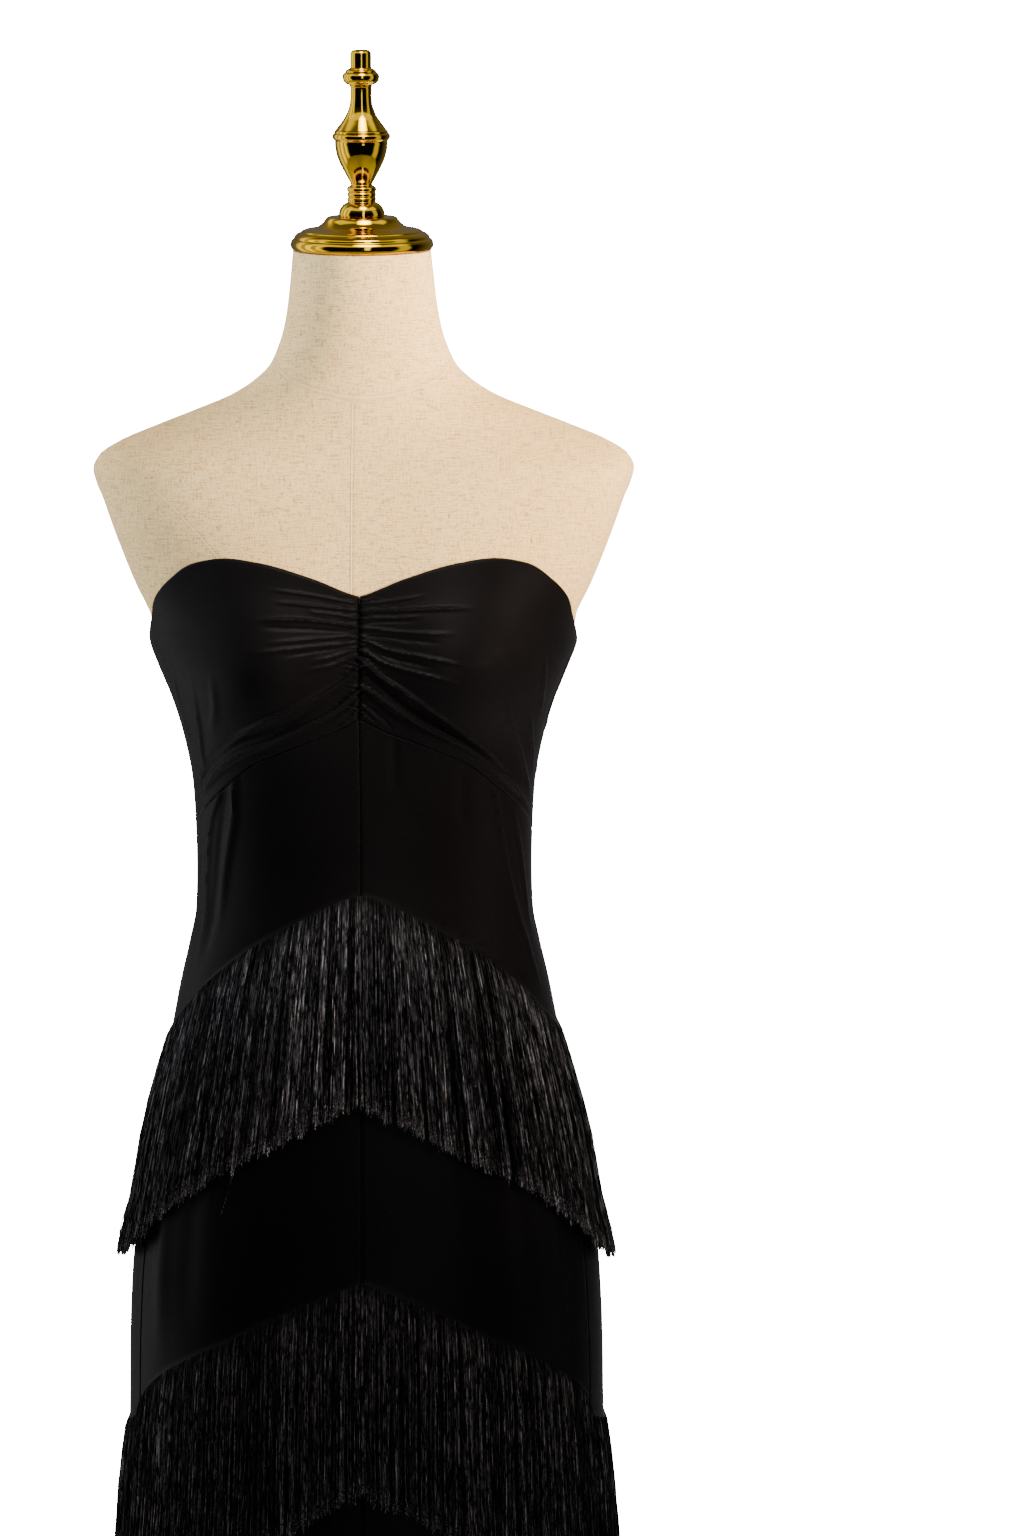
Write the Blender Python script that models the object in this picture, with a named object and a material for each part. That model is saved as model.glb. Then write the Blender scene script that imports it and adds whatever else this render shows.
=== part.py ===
"""A strapless fringe maxi dress, worn by a limbless linen dress form on a stand.

Metres, +Z up. The front faces -Y and the wearer's left side is at +X. The origin is on
the floor, under the middle of the round base.

Every point of the dress and the form is placed by a turn around the figure, in degrees
from the centre front towards +X, by its height, and by how far out it lies.
"""

import math
import random

import bpy
import numpy as np

# General sizes
WALL = 0.0014
GAP = 0.0003
SEAM_TURN = 0.055
FORM_SIDES = 40
FULL_TURN = 360.0
SIDE_TURN = 90.0
SHARP_ANGLE = math.radians(45)

# The outside of the dress from the hem to the underarm, and the form from there to its neck.
# Columns: height, half the width, y of the side line, depth in front of it, depth behind it,
# squareness (2 is an ellipse), and inset, how far inside this surface the form lies.
FIGURE = (
    (0.050, 0.2150, 0.010, 0.150, 0.154, 2.10, 0.0120),
    (0.250, 0.2030, 0.010, 0.142, 0.146, 2.10, 0.0120),
    (0.450, 0.1900, 0.010, 0.134, 0.138, 2.15, 0.0120),
    (0.600, 0.1804, 0.009, 0.127, 0.131, 2.20, 0.0120),
    (0.680, 0.1780, 0.008, 0.123, 0.127, 2.20, 0.0120),
    (0.730, 0.1774, 0.008, 0.121, 0.126, 2.20, 0.0120),
    (0.780, 0.1753, 0.007, 0.119, 0.125, 2.20, 0.0110),
    (0.830, 0.1698, 0.007, 0.117, 0.124, 2.20, 0.0090),
    (0.880, 0.1620, 0.006, 0.114, 0.120, 2.20, 0.0070),
    (0.930, 0.1515, 0.005, 0.110, 0.112, 2.20, 0.0060),
    (0.970, 0.1432, 0.003, 0.106, 0.104, 2.20, 0.0052),
    (1.000, 0.1373, 0.002, 0.102, 0.097, 2.20, 0.0046),
    (1.030, 0.1303, 0.001, 0.098, 0.0915, 2.20, 0.0042),
    (1.055, 0.1256, 0.000, 0.0945, 0.0885, 2.20, 0.0038),
    (1.085, 0.1248, 0.000, 0.093, 0.087, 2.20, 0.0029),
    (1.118, 0.1256, 0.000, 0.094, 0.0875, 2.20, 0.0025),
    (1.148, 0.1275, 0.000, 0.098, 0.090, 2.20, 0.0032),
    (1.178, 0.1330, 0.001, 0.1035, 0.0935, 2.22, 0.0052),
    (1.208, 0.1419, 0.003, 0.1085, 0.097, 2.26, 0.0055),
    (1.235, 0.1530, 0.005, 0.1115, 0.1005, 2.32, 0.0050),
    (1.252, 0.1592, 0.007, 0.1125, 0.1015, 2.36, 0.0040),
    (1.272, 0.1620, 0.009, 0.1125, 0.1015, 2.42, 0.0034),
    (1.290, 0.1706, 0.011, 0.1115, 0.101, 2.46, 0.0030),
    (1.312, 0.1795, 0.013, 0.110, 0.100, 2.50, 0.0025),
    (1.334, 0.1870, 0.015, 0.107, 0.098, 2.50, 0.0014),
    (1.357, 0.1938, 0.017, 0.101, 0.094, 2.45, 0.0000),
    (1.368, 0.1986, 0.018, 0.098, 0.091, 2.35, 0.0000),
    (1.380, 0.2016, 0.018, 0.095, 0.089, 2.20, 0.0000),
    (1.390, 0.1972, 0.019, 0.091, 0.086, 1.95, 0.0000),
    (1.401, 0.1807, 0.019, 0.086, 0.082, 1.75, 0.0000),
    (1.412, 0.1546, 0.018, 0.080, 0.078, 1.62, 0.0000),
    (1.424, 0.1240, 0.017, 0.0735, 0.073, 1.62, 0.0000),
    (1.435, 0.0976, 0.016, 0.066, 0.067, 1.72, 0.0000),
    (1.446, 0.0805, 0.0145, 0.061, 0.061, 1.85, 0.0000),
    (1.457, 0.0693, 0.0125, 0.058, 0.057, 1.97, 0.0000),
    (1.468, 0.0640, 0.010, 0.0565, 0.054, 2.00, 0.0000),
    (1.480, 0.0597, 0.0075, 0.055, 0.052, 2.00, 0.0000),
    (1.500, 0.0557, 0.003, 0.054, 0.0515, 2.00, 0.0000),
    (1.541, 0.0512, -0.004, 0.052, 0.052, 2.00, 0.0000),
)

# The bust: two soft rises on the front.
BUST_HEIGHT = 1.228
BUST_SIDE = 0.078
BUST_RISE = 0.0225
BUST_WIDTH = 0.055
BUST_REACH_UP = 0.060
BUST_REACH_DOWN = 0.045
# The bust fades out towards the side line, below this cosine of the turn.
BUST_SIDE_FADE = 0.4

# The neck leans forward, so its top is a tilted plane that the cap and the finial stand on.
NECK_LEAN = math.radians(5.5)
LEAN_START = 1.457
NECK_TOP = 1.541

# Seams. Columns: turn from the centre front, height.
NECKLINE = (
    (0, 1.2893), (8, 1.3027), (19, 1.3133), (28, 1.3166), (38, 1.3130), (50, 1.3005),
    (66, 1.2820), (90, 1.2513), (120, 1.2450), (180, 1.2440),
)
EMPIRE_SEAM = (
    (0, 1.2001), (6, 1.1912), (14, 1.1839), (24.5, 1.1746), (35, 1.1658), (43, 1.1560),
    (55, 1.1422), (72, 1.1260), (90, 1.1113), (180, 1.1080),
)
UPPER_CHEVRON = (
    (0, 1.0703), (5.5, 1.0663), (11.5, 1.0596), (23.5, 1.0456), (38.5, 1.0276),
    (55.5, 1.0019), (69.5, 0.9794), (90, 0.9578),
)
LOWER_CHEVRON = (
    (0, 0.7877), (6, 0.7788), (13, 0.7692), (21.5, 0.7576), (31, 0.7430), (41, 0.7307),
    (56, 0.7117), (67, 0.6927), (72, 0.6760), (90, 0.6670),
)
HEM_HEIGHT = 0.060

# The side seam swings to the front below the hip. Columns: height, turn.
SIDE_SEAM = (
    (0.060, 78.0), (0.450, 72.0), (0.672, 69.5), (0.800, 69.0), (0.880, 74.0), (0.930, 84.0),
    (0.958, 90.0), (1.260, 90.0),
)

# Grid of the panels. The columns are fractions of the way from the centre front to the side,
# closest together where the gathers are.
FRONT_COLUMNS = (0, 0.03, 0.075, 0.135, 0.21, 0.30, 0.40, 0.51, 0.63, 0.75, 0.875, 1)
BODICE_ROWS = 28
BODICE_BACK_ROWS = 5
BACK_COLUMNS = 20
MIDRIFF_ROWS = 8
UPPER_SKIRT_ROWS = 8
LOWER_SKIRT_ROWS = 9
GRID_STEPS = 12

# Gathers of the bodice front, one on every second row from the empire seam to the neckline.
# Columns: how many degrees it runs on the wearer's left, on the right, and how high it stands.
GATHERS = (
    (26, 30, 0.0016), (38, 34, 0.0020), (30, 26, 0.0021), (44, 40, 0.0024),
    (34, 30, 0.0022), (28, 42, 0.0023), (46, 34, 0.0026), (32, 26, 0.0021),
    (40, 44, 0.0024), (28, 30, 0.0020), (36, 24, 0.0021), (24, 32, 0.0017), (18, 20, 0.0013),
)
GATHER_ROW_STEP = 2

# The drape that sweeps from the centre seam out and down above the empire seam.
DRAPE_PLACE = 0.085
DRAPE_WIDTH = 0.034
DRAPE_RISE = 0.0030
DRAPE_START = 3.0
DRAPE_FULL = 18.0
DRAPE_FADE = 74.0

# Drag folds beside the side seams of the bodice front. Columns: turn, width in degrees, rise.
DRAG_FOLDS = ((60.0, 4.5, 0.0012), (73.0, 4.0, 0.0014))
# The share of the bodice's height over which they rise and fade.
DRAG_FULL = 0.2
DRAG_FADE = 0.7

# Soft folds of the hanging skirt. Columns: turn, width in degrees, rise at the hem.
HANG_FOLDS = (
    (24, 9, 0.0150), (58, 10, 0.0180), (95, 9, 0.0130), (129, 10, 0.0170), (163, 9, 0.0140),
    (198, 10, 0.0160), (231, 9, 0.0150), (264, 9, 0.0130), (301, 10, 0.0180), (336, 9, 0.0150),
)
HANG_TOP = 0.700
HANG_BOTTOM = 0.100

# The upper edge of each skirt panel is tucked in behind the fringe's strip.
TUCK = 0.0010
TUCK_HEIGHT = 0.030

# Fringe
STRIP_HEIGHT = 0.007
STRIP_INNER = 0.0012
STRIP_OUTER = 0.0026
FRINGE_LENGTH = 0.160
LOCK_SHARE = 0.68
LOCK_DEPTH = 0.0024
LOCK_RAGGED = 0.0030
# The most that a lock hangs aslant, in degrees of turn.
LOCK_SWAY = 0.32
# Sections of a lock. Columns: share of the way down, distance off the skirt.
LOCK_SECTIONS = ((0.30, 0.0078), (0.65, 0.0086), (1.0, 0.0100))
UPPER_FRONT_LOCKS = 38
UPPER_BACK_LOCKS = 38
LOWER_FRONT_LOCKS = 32
LOWER_BACK_LOCKS = 44

# Form: the rounded lower edge, as height and extra inset, and the heights of the sections.
FORM_EDGE = ((0.790, 0.0240), (0.796, 0.0090))
FORM_HEIGHTS = (
    0.812, 0.870, 0.930, 0.980, 1.020, 1.052, 1.082, 1.112, 1.142, 1.168, 1.190, 1.210, 1.232,
    1.256, 1.282, 1.308, 1.340, 1.366, 1.380, 1.390, 1.401, 1.412, 1.424, 1.437, 1.457, 1.476,
    1.503, NECK_TOP,
)

# Turned profiles, from the bottom up. Columns: height above the piece's foot, radius.
CAP_PROFILE = (
    (0.0000, 0.0505), (0.0030, 0.0530), (0.0068, 0.0530), (0.0104, 0.0500), (0.0146, 0.0430),
    (0.0158, 0.0376), (0.0175, 0.0331), (0.0232, 0.0268), (0.0245, 0.0240),
)
CAP_SIDES = 32
FINIAL_PROFILE = (
    (0.0000, 0.0166), (0.0018, 0.0171), (0.0050, 0.0160), (0.0084, 0.0137), (0.0104, 0.0104),
    (0.0138, 0.0108), (0.0165, 0.0100), (0.0196, 0.0108), (0.0224, 0.0104), (0.0238, 0.0080),
    (0.0300, 0.0112), (0.0380, 0.0155), (0.0470, 0.0188), (0.0545, 0.0196), (0.0560, 0.0198),
    (0.0590, 0.0214), (0.0620, 0.0195), (0.0688, 0.0148), (0.0734, 0.0117), (0.0790, 0.0094),
    (0.0840, 0.0081), (0.0950, 0.0080), (0.0962, 0.0084), (0.1000, 0.0125), (0.1026, 0.0133),
    (0.1060, 0.0124), (0.1086, 0.0084), (0.1100, 0.0078), (0.1205, 0.0078), (0.1222, 0.0064),
)
FINIAL_SIDES = 18

# Stand
POLE_RADIUS = 0.0125
POLE_SIDES = 16
BASE_RADIUS = 0.172
BASE_SIDES = 48
# Columns: height, change of the radius.
BASE_PROFILE = ((0.0, -0.002), (0.004, 0.0), (0.014, 0.0), (0.018, -0.005), (0.022, -0.110))


def blend_rows(table, place):
    """A table's row at a value of its first column, on a smooth curve that never overshoots."""
    places = [row[0] for row in table]
    place = min(max(place, places[0]), places[-1])
    index = 0
    while index < len(table) - 2 and place > places[index + 1]:
        index += 1
    rows = np.array(table, dtype=float)[:, 1:]
    steps = np.diff(places)
    slopes = np.diff(rows, axis=0) / steps[:, None]

    def tangent(k):
        if k == 0:
            return slopes[0]
        if k == len(table) - 1:
            return slopes[-1]
        before, after = slopes[k - 1], slopes[k]
        same_way = before * after > 0
        total = np.where(same_way, before + after, 1.0)
        return np.where(same_way, 2 * before * after / total, 0.0)

    width = steps[index]
    t = (place - places[index]) / width
    start, end = rows[index], rows[index + 1]
    leave, arrive = tangent(index) * width, tangent(index + 1) * width
    return (
        (2 * t ** 3 - 3 * t ** 2 + 1) * start
        + (t ** 3 - 2 * t ** 2 + t) * leave
        + (3 * t ** 2 - 2 * t ** 3) * end
        + (t ** 3 - t ** 2) * arrive
    )


def ease(low, high, value):
    """0 below low, 1 above high, and a smooth rise between them."""
    t = min(max((value - low) / (high - low), 0.0), 1.0)
    return t * t * (3 - 2 * t)


def ease_down(low, high, value):
    """1 below low, 0 above high, and a smooth fall between them."""
    return 1.0 - ease(low, high, value)


def hump(value, middle, width):
    """A smooth rise of 1 at the middle, which fades away over the width."""
    return math.exp(-((value - middle) / width) ** 2)


def bust_rise(x, height):
    """How far the bust stands out of the plain section."""
    reach = BUST_REACH_UP if height > BUST_HEIGHT else BUST_REACH_DOWN
    sides = hump(x, BUST_SIDE, BUST_WIDTH) + hump(x, -BUST_SIDE, BUST_WIDTH)
    return BUST_RISE * sides * hump(height, BUST_HEIGHT, reach)


def signed_power(value, power):
    return math.copysign(abs(value) ** power, value)


def figure_point(turn, height, out=0.0, form=False):
    """A point at a turn and height, out from the dress's surface, or from the form's."""
    half_width, centre, front, back, squareness, inset = blend_rows(FIGURE, height)
    if form:
        out -= inset
    angle = math.radians(turn)
    x = (half_width + out) * signed_power(math.sin(angle), 2 / squareness)
    depth = (front if math.cos(angle) > 0 else back) + out
    y = centre - depth * signed_power(math.cos(angle), 2 / squareness)
    facing_front = ease(0.0, BUST_SIDE_FADE, math.cos(angle))
    y -= bust_rise(x, height) * facing_front
    lean = math.tan(NECK_LEAN) * ease(LEAN_START, NECK_TOP, height)
    return x, y, height + (y - centre) * lean


def fold_turn(turn):
    """The turn from the centre front, whichever side it is on, from 0 to 180."""
    turn = abs(turn) % FULL_TURN
    return min(turn, FULL_TURN - turn)


def neckline(turn):
    return blend_rows(NECKLINE, fold_turn(turn))[0]


def empire_seam(turn):
    return blend_rows(EMPIRE_SEAM, fold_turn(turn))[0]


def chevron(table, turn):
    """A chevron seam, the same at the back as at the front."""
    from_front = fold_turn(turn)
    return blend_rows(table, min(from_front, 2 * SIDE_TURN - from_front))[0]


def upper_chevron(turn):
    return chevron(UPPER_CHEVRON, turn)


def lower_chevron(turn):
    return chevron(LOWER_CHEVRON, turn)


def hem(turn):
    return HEM_HEIGHT


def side_seam(height):
    return blend_rows(SIDE_SEAM, height)[0]


def hang_fold(turn, height):
    """How far the hanging folds stand out, growing towards the hem."""
    rise = 0.0
    for fold, width, depth in HANG_FOLDS:
        rise += depth * hump(fold_turn(turn - fold), 0.0, width)
    return rise * ease_down(HANG_BOTTOM, HANG_TOP, height)


def bodice_relief(row, turn):
    """Gathers, drape and drag folds raised on the outside of the bodice front."""
    place = row / BODICE_ROWS
    from_centre = abs(turn)
    rise = 0.0
    if row % GATHER_ROW_STEP == 1 and row // GATHER_ROW_STEP < len(GATHERS):
        left_reach, right_reach, height = GATHERS[row // GATHER_ROW_STEP]
        reach = left_reach if turn > 0 else right_reach
        rise += height * ease_down(0.0, reach, from_centre)
    sweep = ease(DRAPE_START, DRAPE_FULL, from_centre) * ease_down(DRAPE_FADE, SIDE_TURN, from_centre)
    rise += DRAPE_RISE * sweep * hump(place, DRAPE_PLACE, DRAPE_WIDTH)
    inside_seams = ease(0.0, DRAG_FULL, place) * ease_down(DRAG_FADE, 1.0, place)
    for fold, width, height in DRAG_FOLDS:
        rise += height * hump(from_centre, fold, width) * inside_seams
    return rise


def plain_relief(row, turn):
    return 0.0


def make_material(name, colour, roughness, metallic=0.0):
    material = bpy.data.materials.new(name)
    material.use_nodes = True
    shader = material.node_tree.nodes["Principled BSDF"]
    shader.inputs["Base Color"].default_value = (*colour, 1.0)
    shader.inputs["Roughness"].default_value = roughness
    shader.inputs["Metallic"].default_value = metallic
    return material


def add_object(name, points, faces, material):
    """One object from points and faces, shaded smooth but for its sharp edges."""
    mesh = bpy.data.meshes.new(name)
    mesh.from_pydata(points, [], faces)
    mesh.materials.append(material)
    mesh.shade_smooth()
    mesh.set_sharp_from_angle(angle=SHARP_ANGLE)
    mesh.validate()
    piece = bpy.data.objects.new(name, mesh)
    bpy.context.collection.objects.link(piece)
    return piece


def cloth_grid(rows, columns, lower, upper, first_turn, last_turn):
    """Turn, height and distance below the upper seam of each point of a panel.

    The side edges lean, so each point's turn and height are found together, step by step.
    """
    grid = []
    for row in range(rows + 1):
        line = []
        for across in columns:
            height = upper(0.0)
            for _ in range(GRID_STEPS):
                turn = first_turn(height) * (1 - across) + last_turn(height) * across
                bottom = lower(turn) + GAP / 2
                top = upper(turn) - GAP / 2
                height = bottom + (top - bottom) * row / rows
            line.append((turn, height, top - height))
        grid.append(line)
    return grid


def add_panel(name, material, grid, relief, tuck=0.0):
    """A cloth wall over a grid, raised outside by its relief and plain inside."""
    rows = len(grid) - 1
    columns = len(grid[0]) - 1
    outer = []
    inner = []
    for row, line in enumerate(grid):
        for turn, height, below_top in line:
            shift = hang_fold(turn, height) - tuck * ease_down(0.0, TUCK_HEIGHT, below_top)
            outer.append(figure_point(turn, height, shift + relief(row, turn)))
            inner.append(figure_point(turn, height, shift - WALL))
    count = len(outer)

    def at(row, column, side=0):
        return row * (columns + 1) + column + side * count

    faces = []
    for r in range(rows):
        for c in range(columns):
            faces.append((at(r, c), at(r, c + 1), at(r + 1, c + 1), at(r + 1, c)))
            faces.append((at(r + 1, c, 1), at(r + 1, c + 1, 1), at(r, c + 1, 1), at(r, c, 1)))
        faces.append((at(r, 0), at(r + 1, 0), at(r + 1, 0, 1), at(r, 0, 1)))
        faces.append((at(r + 1, columns), at(r, columns), at(r, columns, 1), at(r + 1, columns, 1)))
    for c in range(columns):
        faces.append((at(0, c + 1), at(0, c), at(0, c, 1), at(0, c + 1, 1)))
        faces.append((at(rows, c), at(rows, c + 1), at(rows, c + 1, 1), at(rows, c, 1)))
    return add_object(name, outer + inner, faces, material)


def even(count):
    return tuple(step / count for step in range(count + 1))


def add_tier(name, material, rows, back_rows, lower, upper, relief, tuck=0.0):
    """The two front panels and the back panel between two seams."""
    mirrored = tuple(1 - across for across in reversed(FRONT_COLUMNS))

    def centre_left(height):
        return SEAM_TURN

    def centre_right(height):
        return -SEAM_TURN

    def side_left(height):
        return side_seam(height) - SEAM_TURN

    def side_right(height):
        return SEAM_TURN - side_seam(height)

    def back_left(height):
        return side_seam(height) + SEAM_TURN

    def back_right(height):
        return FULL_TURN - side_seam(height) - SEAM_TURN

    left = cloth_grid(rows, FRONT_COLUMNS, lower, upper, centre_left, side_left)
    right = cloth_grid(rows, mirrored, lower, upper, side_right, centre_right)
    back = cloth_grid(back_rows, even(BACK_COLUMNS), lower, upper, back_left, back_right)
    add_panel(name + "_front_left", material, left, relief, tuck)
    add_panel(name + "_front_right", material, right, relief, tuck)
    add_panel(name + "_back", material, back, plain_relief, tuck)


def add_fringe(name, material, locks, seam, first_turn, last_turn, seed):
    """A row of three-sided locks that hang from a narrow strip below a seam."""
    ragged = random.Random(seed)
    points = []
    faces = []
    pitch = (last_turn - first_turn) / locks
    cells = [first_turn]
    for lock in range(locks):
        middle = first_turn + pitch * (lock + 0.5)
        cells += [middle - pitch * LOCK_SHARE / 2, middle + pitch * LOCK_SHARE / 2]
    cells.append(last_turn)

    for turn in cells:
        top = seam(turn) - GAP
        bottom = top - STRIP_HEIGHT
        points.append(figure_point(turn, top, (STRIP_INNER + STRIP_OUTER) / 2 - TUCK))
        points.append(figure_point(turn, bottom, STRIP_OUTER - TUCK))
        points.append(figure_point(turn, bottom, STRIP_INNER - TUCK))
    top_edge, outer_edge, inner_edge = 0, 1, 2

    for cell in range(len(cells) - 1):
        here, there = 3 * cell, 3 * cell + 3
        faces.append((here + outer_edge, there + outer_edge, there + top_edge, here + top_edge))
        faces.append((here + top_edge, there + top_edge, there + inner_edge, here + inner_edge))
        is_lock = cell % 2 == 1
        if not is_lock:
            faces.append((here + inner_edge, there + inner_edge, there + outer_edge, here + outer_edge))
            continue
        add_lock(points, faces, (here, there), (cells[cell], cells[cell + 1]), seam, ragged)

    last = 3 * (len(cells) - 1)
    faces.append((top_edge, inner_edge, outer_edge))
    faces.append((last + top_edge, last + outer_edge, last + inner_edge))
    return add_object(name, points, faces, material)


def add_lock(points, faces, corners, turns, seam, ragged):
    """One lock: its root is the strip's underside between two turns."""
    here, there = corners
    middle = sum(turns) / 2
    width = turns[1] - turns[0]
    root = seam(middle) - GAP - STRIP_HEIGHT
    length = FRINGE_LENGTH - STRIP_HEIGHT + ragged.uniform(-LOCK_RAGGED, LOCK_RAGGED)
    sway = ragged.uniform(-LOCK_SWAY, LOCK_SWAY)
    rings = []
    for level, stand_off in LOCK_SECTIONS:
        height = root - length * level
        out = stand_off + hang_fold(middle, height)
        turn = middle + sway * level
        rings.append(len(points))
        points.append(figure_point(turn - width / 2, height, out))
        points.append(figure_point(turn + width / 2, height, out))
        points.append(figure_point(turn, height, out - LOCK_DEPTH))
    first = rings[0]
    faces.append((first, first + 1, there + 1, here + 1))
    faces.append((first + 1, first + 2, there + 2, there + 1))
    faces.append((first + 2, here + 2, there + 2))
    faces.append((first + 2, first, here + 1, here + 2))
    for upper, lower in zip(rings, rings[1:]):
        for side in range(3):
            beside = (side + 1) % 3
            faces.append((lower + side, lower + beside, upper + beside, upper + side))
    tip = rings[-1]
    faces.append((tip + 2, tip + 1, tip))


def add_rings(name, material, rings):
    """A closed solid through rings of the same number of points, from the bottom up."""
    sides = len(rings[0])
    points = [point for ring in rings for point in ring]
    faces = [tuple(reversed(range(sides)))]
    for level in range(len(rings) - 1):
        for side in range(sides):
            beside = (side + 1) % sides
            low, high = level * sides, (level + 1) * sides
            faces.append((low + side, low + beside, high + beside, high + side))
    last = (len(rings) - 1) * sides
    faces.append(tuple(range(last, last + sides)))
    return add_object(name, points, faces, material)


def turned_rings(profile, sides):
    """Rings of a turned piece from its profile of heights and radii."""
    rings = []
    for height, radius in profile:
        ring = []
        for side in range(sides):
            angle = math.tau * side / sides
            ring.append((radius * math.cos(angle), radius * math.sin(angle), height))
        rings.append(ring)
    return rings


def add_form(linen):
    """The linen torso and neck in one smooth solid, closed under the hips."""
    turns = [FULL_TURN * side / FORM_SIDES for side in range(FORM_SIDES)]
    rings = []
    for height, inset in FORM_EDGE:
        rings.append([figure_point(turn, height, -inset, form=True) for turn in turns])
    for height in FORM_HEIGHTS:
        rings.append([figure_point(turn, height, form=True) for turn in turns])
    add_rings("form_torso", linen, rings)


def add_neck_fittings(gold):
    """The cap and the finial, on the tilted plane of the neck's top."""
    neck_centre = blend_rows(FIGURE, NECK_TOP)[1]
    tilt = (NECK_LEAN, 0.0, 0.0)

    def above_neck(distance):
        return (
            0.0,
            neck_centre - distance * math.sin(NECK_LEAN),
            NECK_TOP + distance * math.cos(NECK_LEAN),
        )

    cap = add_rings("neck_cap", gold, turned_rings(CAP_PROFILE, CAP_SIDES))
    cap.location = above_neck(GAP)
    cap.rotation_euler = tilt
    finial = add_rings("finial", gold, turned_rings(FINIAL_PROFILE, FINIAL_SIDES))
    finial.location = above_neck(GAP + CAP_PROFILE[-1][0] + GAP)
    finial.rotation_euler = tilt


def add_stand(metal):
    """The round base on the floor and the pole up to the form's underside."""
    base_top = BASE_PROFILE[-1][0]
    profile = tuple((height, BASE_RADIUS + change) for height, change in BASE_PROFILE)
    add_rings("stand_base", metal, turned_rings(profile, BASE_SIDES))
    pole = ((base_top + GAP, POLE_RADIUS), (FORM_EDGE[0][0] - GAP, POLE_RADIUS))
    add_rings("stand_pole", metal, turned_rings(pole, POLE_SIDES))


def main():
    for leftover in list(bpy.data.objects):
        bpy.data.objects.remove(leftover)

    jersey = make_material("black_jersey", (0.012, 0.011, 0.012), 0.46)
    yarn = make_material("black_fringe_yarn", (0.016, 0.016, 0.017), 0.40)
    linen = make_material("cream_linen", (0.72, 0.63, 0.50), 0.90)
    gold = make_material("polished_gold", (0.80, 0.56, 0.12), 0.14, 1.0)
    metal = make_material("stand_metal", (0.80, 0.56, 0.12), 0.20, 1.0)

    add_tier("bodice", jersey, BODICE_ROWS, BODICE_BACK_ROWS,
             empire_seam, neckline, bodice_relief)
    add_tier("midriff", jersey, MIDRIFF_ROWS, MIDRIFF_ROWS,
             upper_chevron, empire_seam, plain_relief)
    add_tier("skirt_upper", jersey, UPPER_SKIRT_ROWS, UPPER_SKIRT_ROWS,
             lower_chevron, upper_chevron, plain_relief, TUCK)
    add_tier("skirt_lower", jersey, LOWER_SKIRT_ROWS, LOWER_SKIRT_ROWS,
             hem, lower_chevron, plain_relief, TUCK)

    upper_side = side_seam(upper_chevron(SIDE_TURN)) - SEAM_TURN
    upper_back = upper_side + 2 * SEAM_TURN
    add_fringe("fringe_upper_front", yarn, UPPER_FRONT_LOCKS, upper_chevron,
               -upper_side, upper_side, 1)
    add_fringe("fringe_upper_back", yarn, UPPER_BACK_LOCKS, upper_chevron,
               upper_back, FULL_TURN - upper_back, 2)
    lower_side = side_seam(lower_chevron(SIDE_TURN)) - SEAM_TURN
    lower_back = lower_side + 2 * SEAM_TURN
    add_fringe("fringe_lower_front", yarn, LOWER_FRONT_LOCKS, lower_chevron,
               -lower_side, lower_side, 3)
    add_fringe("fringe_lower_back", yarn, LOWER_BACK_LOCKS, lower_chevron,
               lower_back, FULL_TURN - lower_back, 4)

    add_form(linen)
    add_neck_fittings(gold)
    add_stand(metal)


main()
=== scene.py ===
import math

import bpy
import numpy as np
from mathutils import Matrix, Vector


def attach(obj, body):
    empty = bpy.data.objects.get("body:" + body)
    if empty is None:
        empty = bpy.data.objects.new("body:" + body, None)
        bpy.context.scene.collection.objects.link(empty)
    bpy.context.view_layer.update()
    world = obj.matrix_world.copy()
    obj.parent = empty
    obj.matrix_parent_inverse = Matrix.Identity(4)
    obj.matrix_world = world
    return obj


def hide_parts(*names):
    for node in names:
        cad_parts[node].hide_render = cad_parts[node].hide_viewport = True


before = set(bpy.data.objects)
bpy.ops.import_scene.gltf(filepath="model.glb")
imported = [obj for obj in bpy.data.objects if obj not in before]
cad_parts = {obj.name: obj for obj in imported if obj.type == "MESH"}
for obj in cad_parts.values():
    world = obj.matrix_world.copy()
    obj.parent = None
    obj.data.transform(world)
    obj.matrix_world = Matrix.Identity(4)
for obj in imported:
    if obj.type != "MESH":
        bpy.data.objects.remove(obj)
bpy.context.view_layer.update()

BODY = "root"
FULL_TURN = 360.0
SIDE_TURN = 90.0
# Clear space between pieces that rest on each other.
GAP = 0.0003
# How far a panel's faces stop short of the seams below and above it, and of those at its
# sides, in degrees. Its rounded edge fills the rest.
MEETING = 0.00003
MEETING_TURN = 0.008
# How far a fringe stops short of the side seam, in degrees.
FRINGE_MEETING_TURN = 0.055
CLOTH_THICKNESS = 0.0011
# How far the middle of the cloth's rounded edge stands out.
EDGE_ROUND = 0.0001
TINY = 1e-12
SHARP_ANGLE = math.radians(40)

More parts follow.
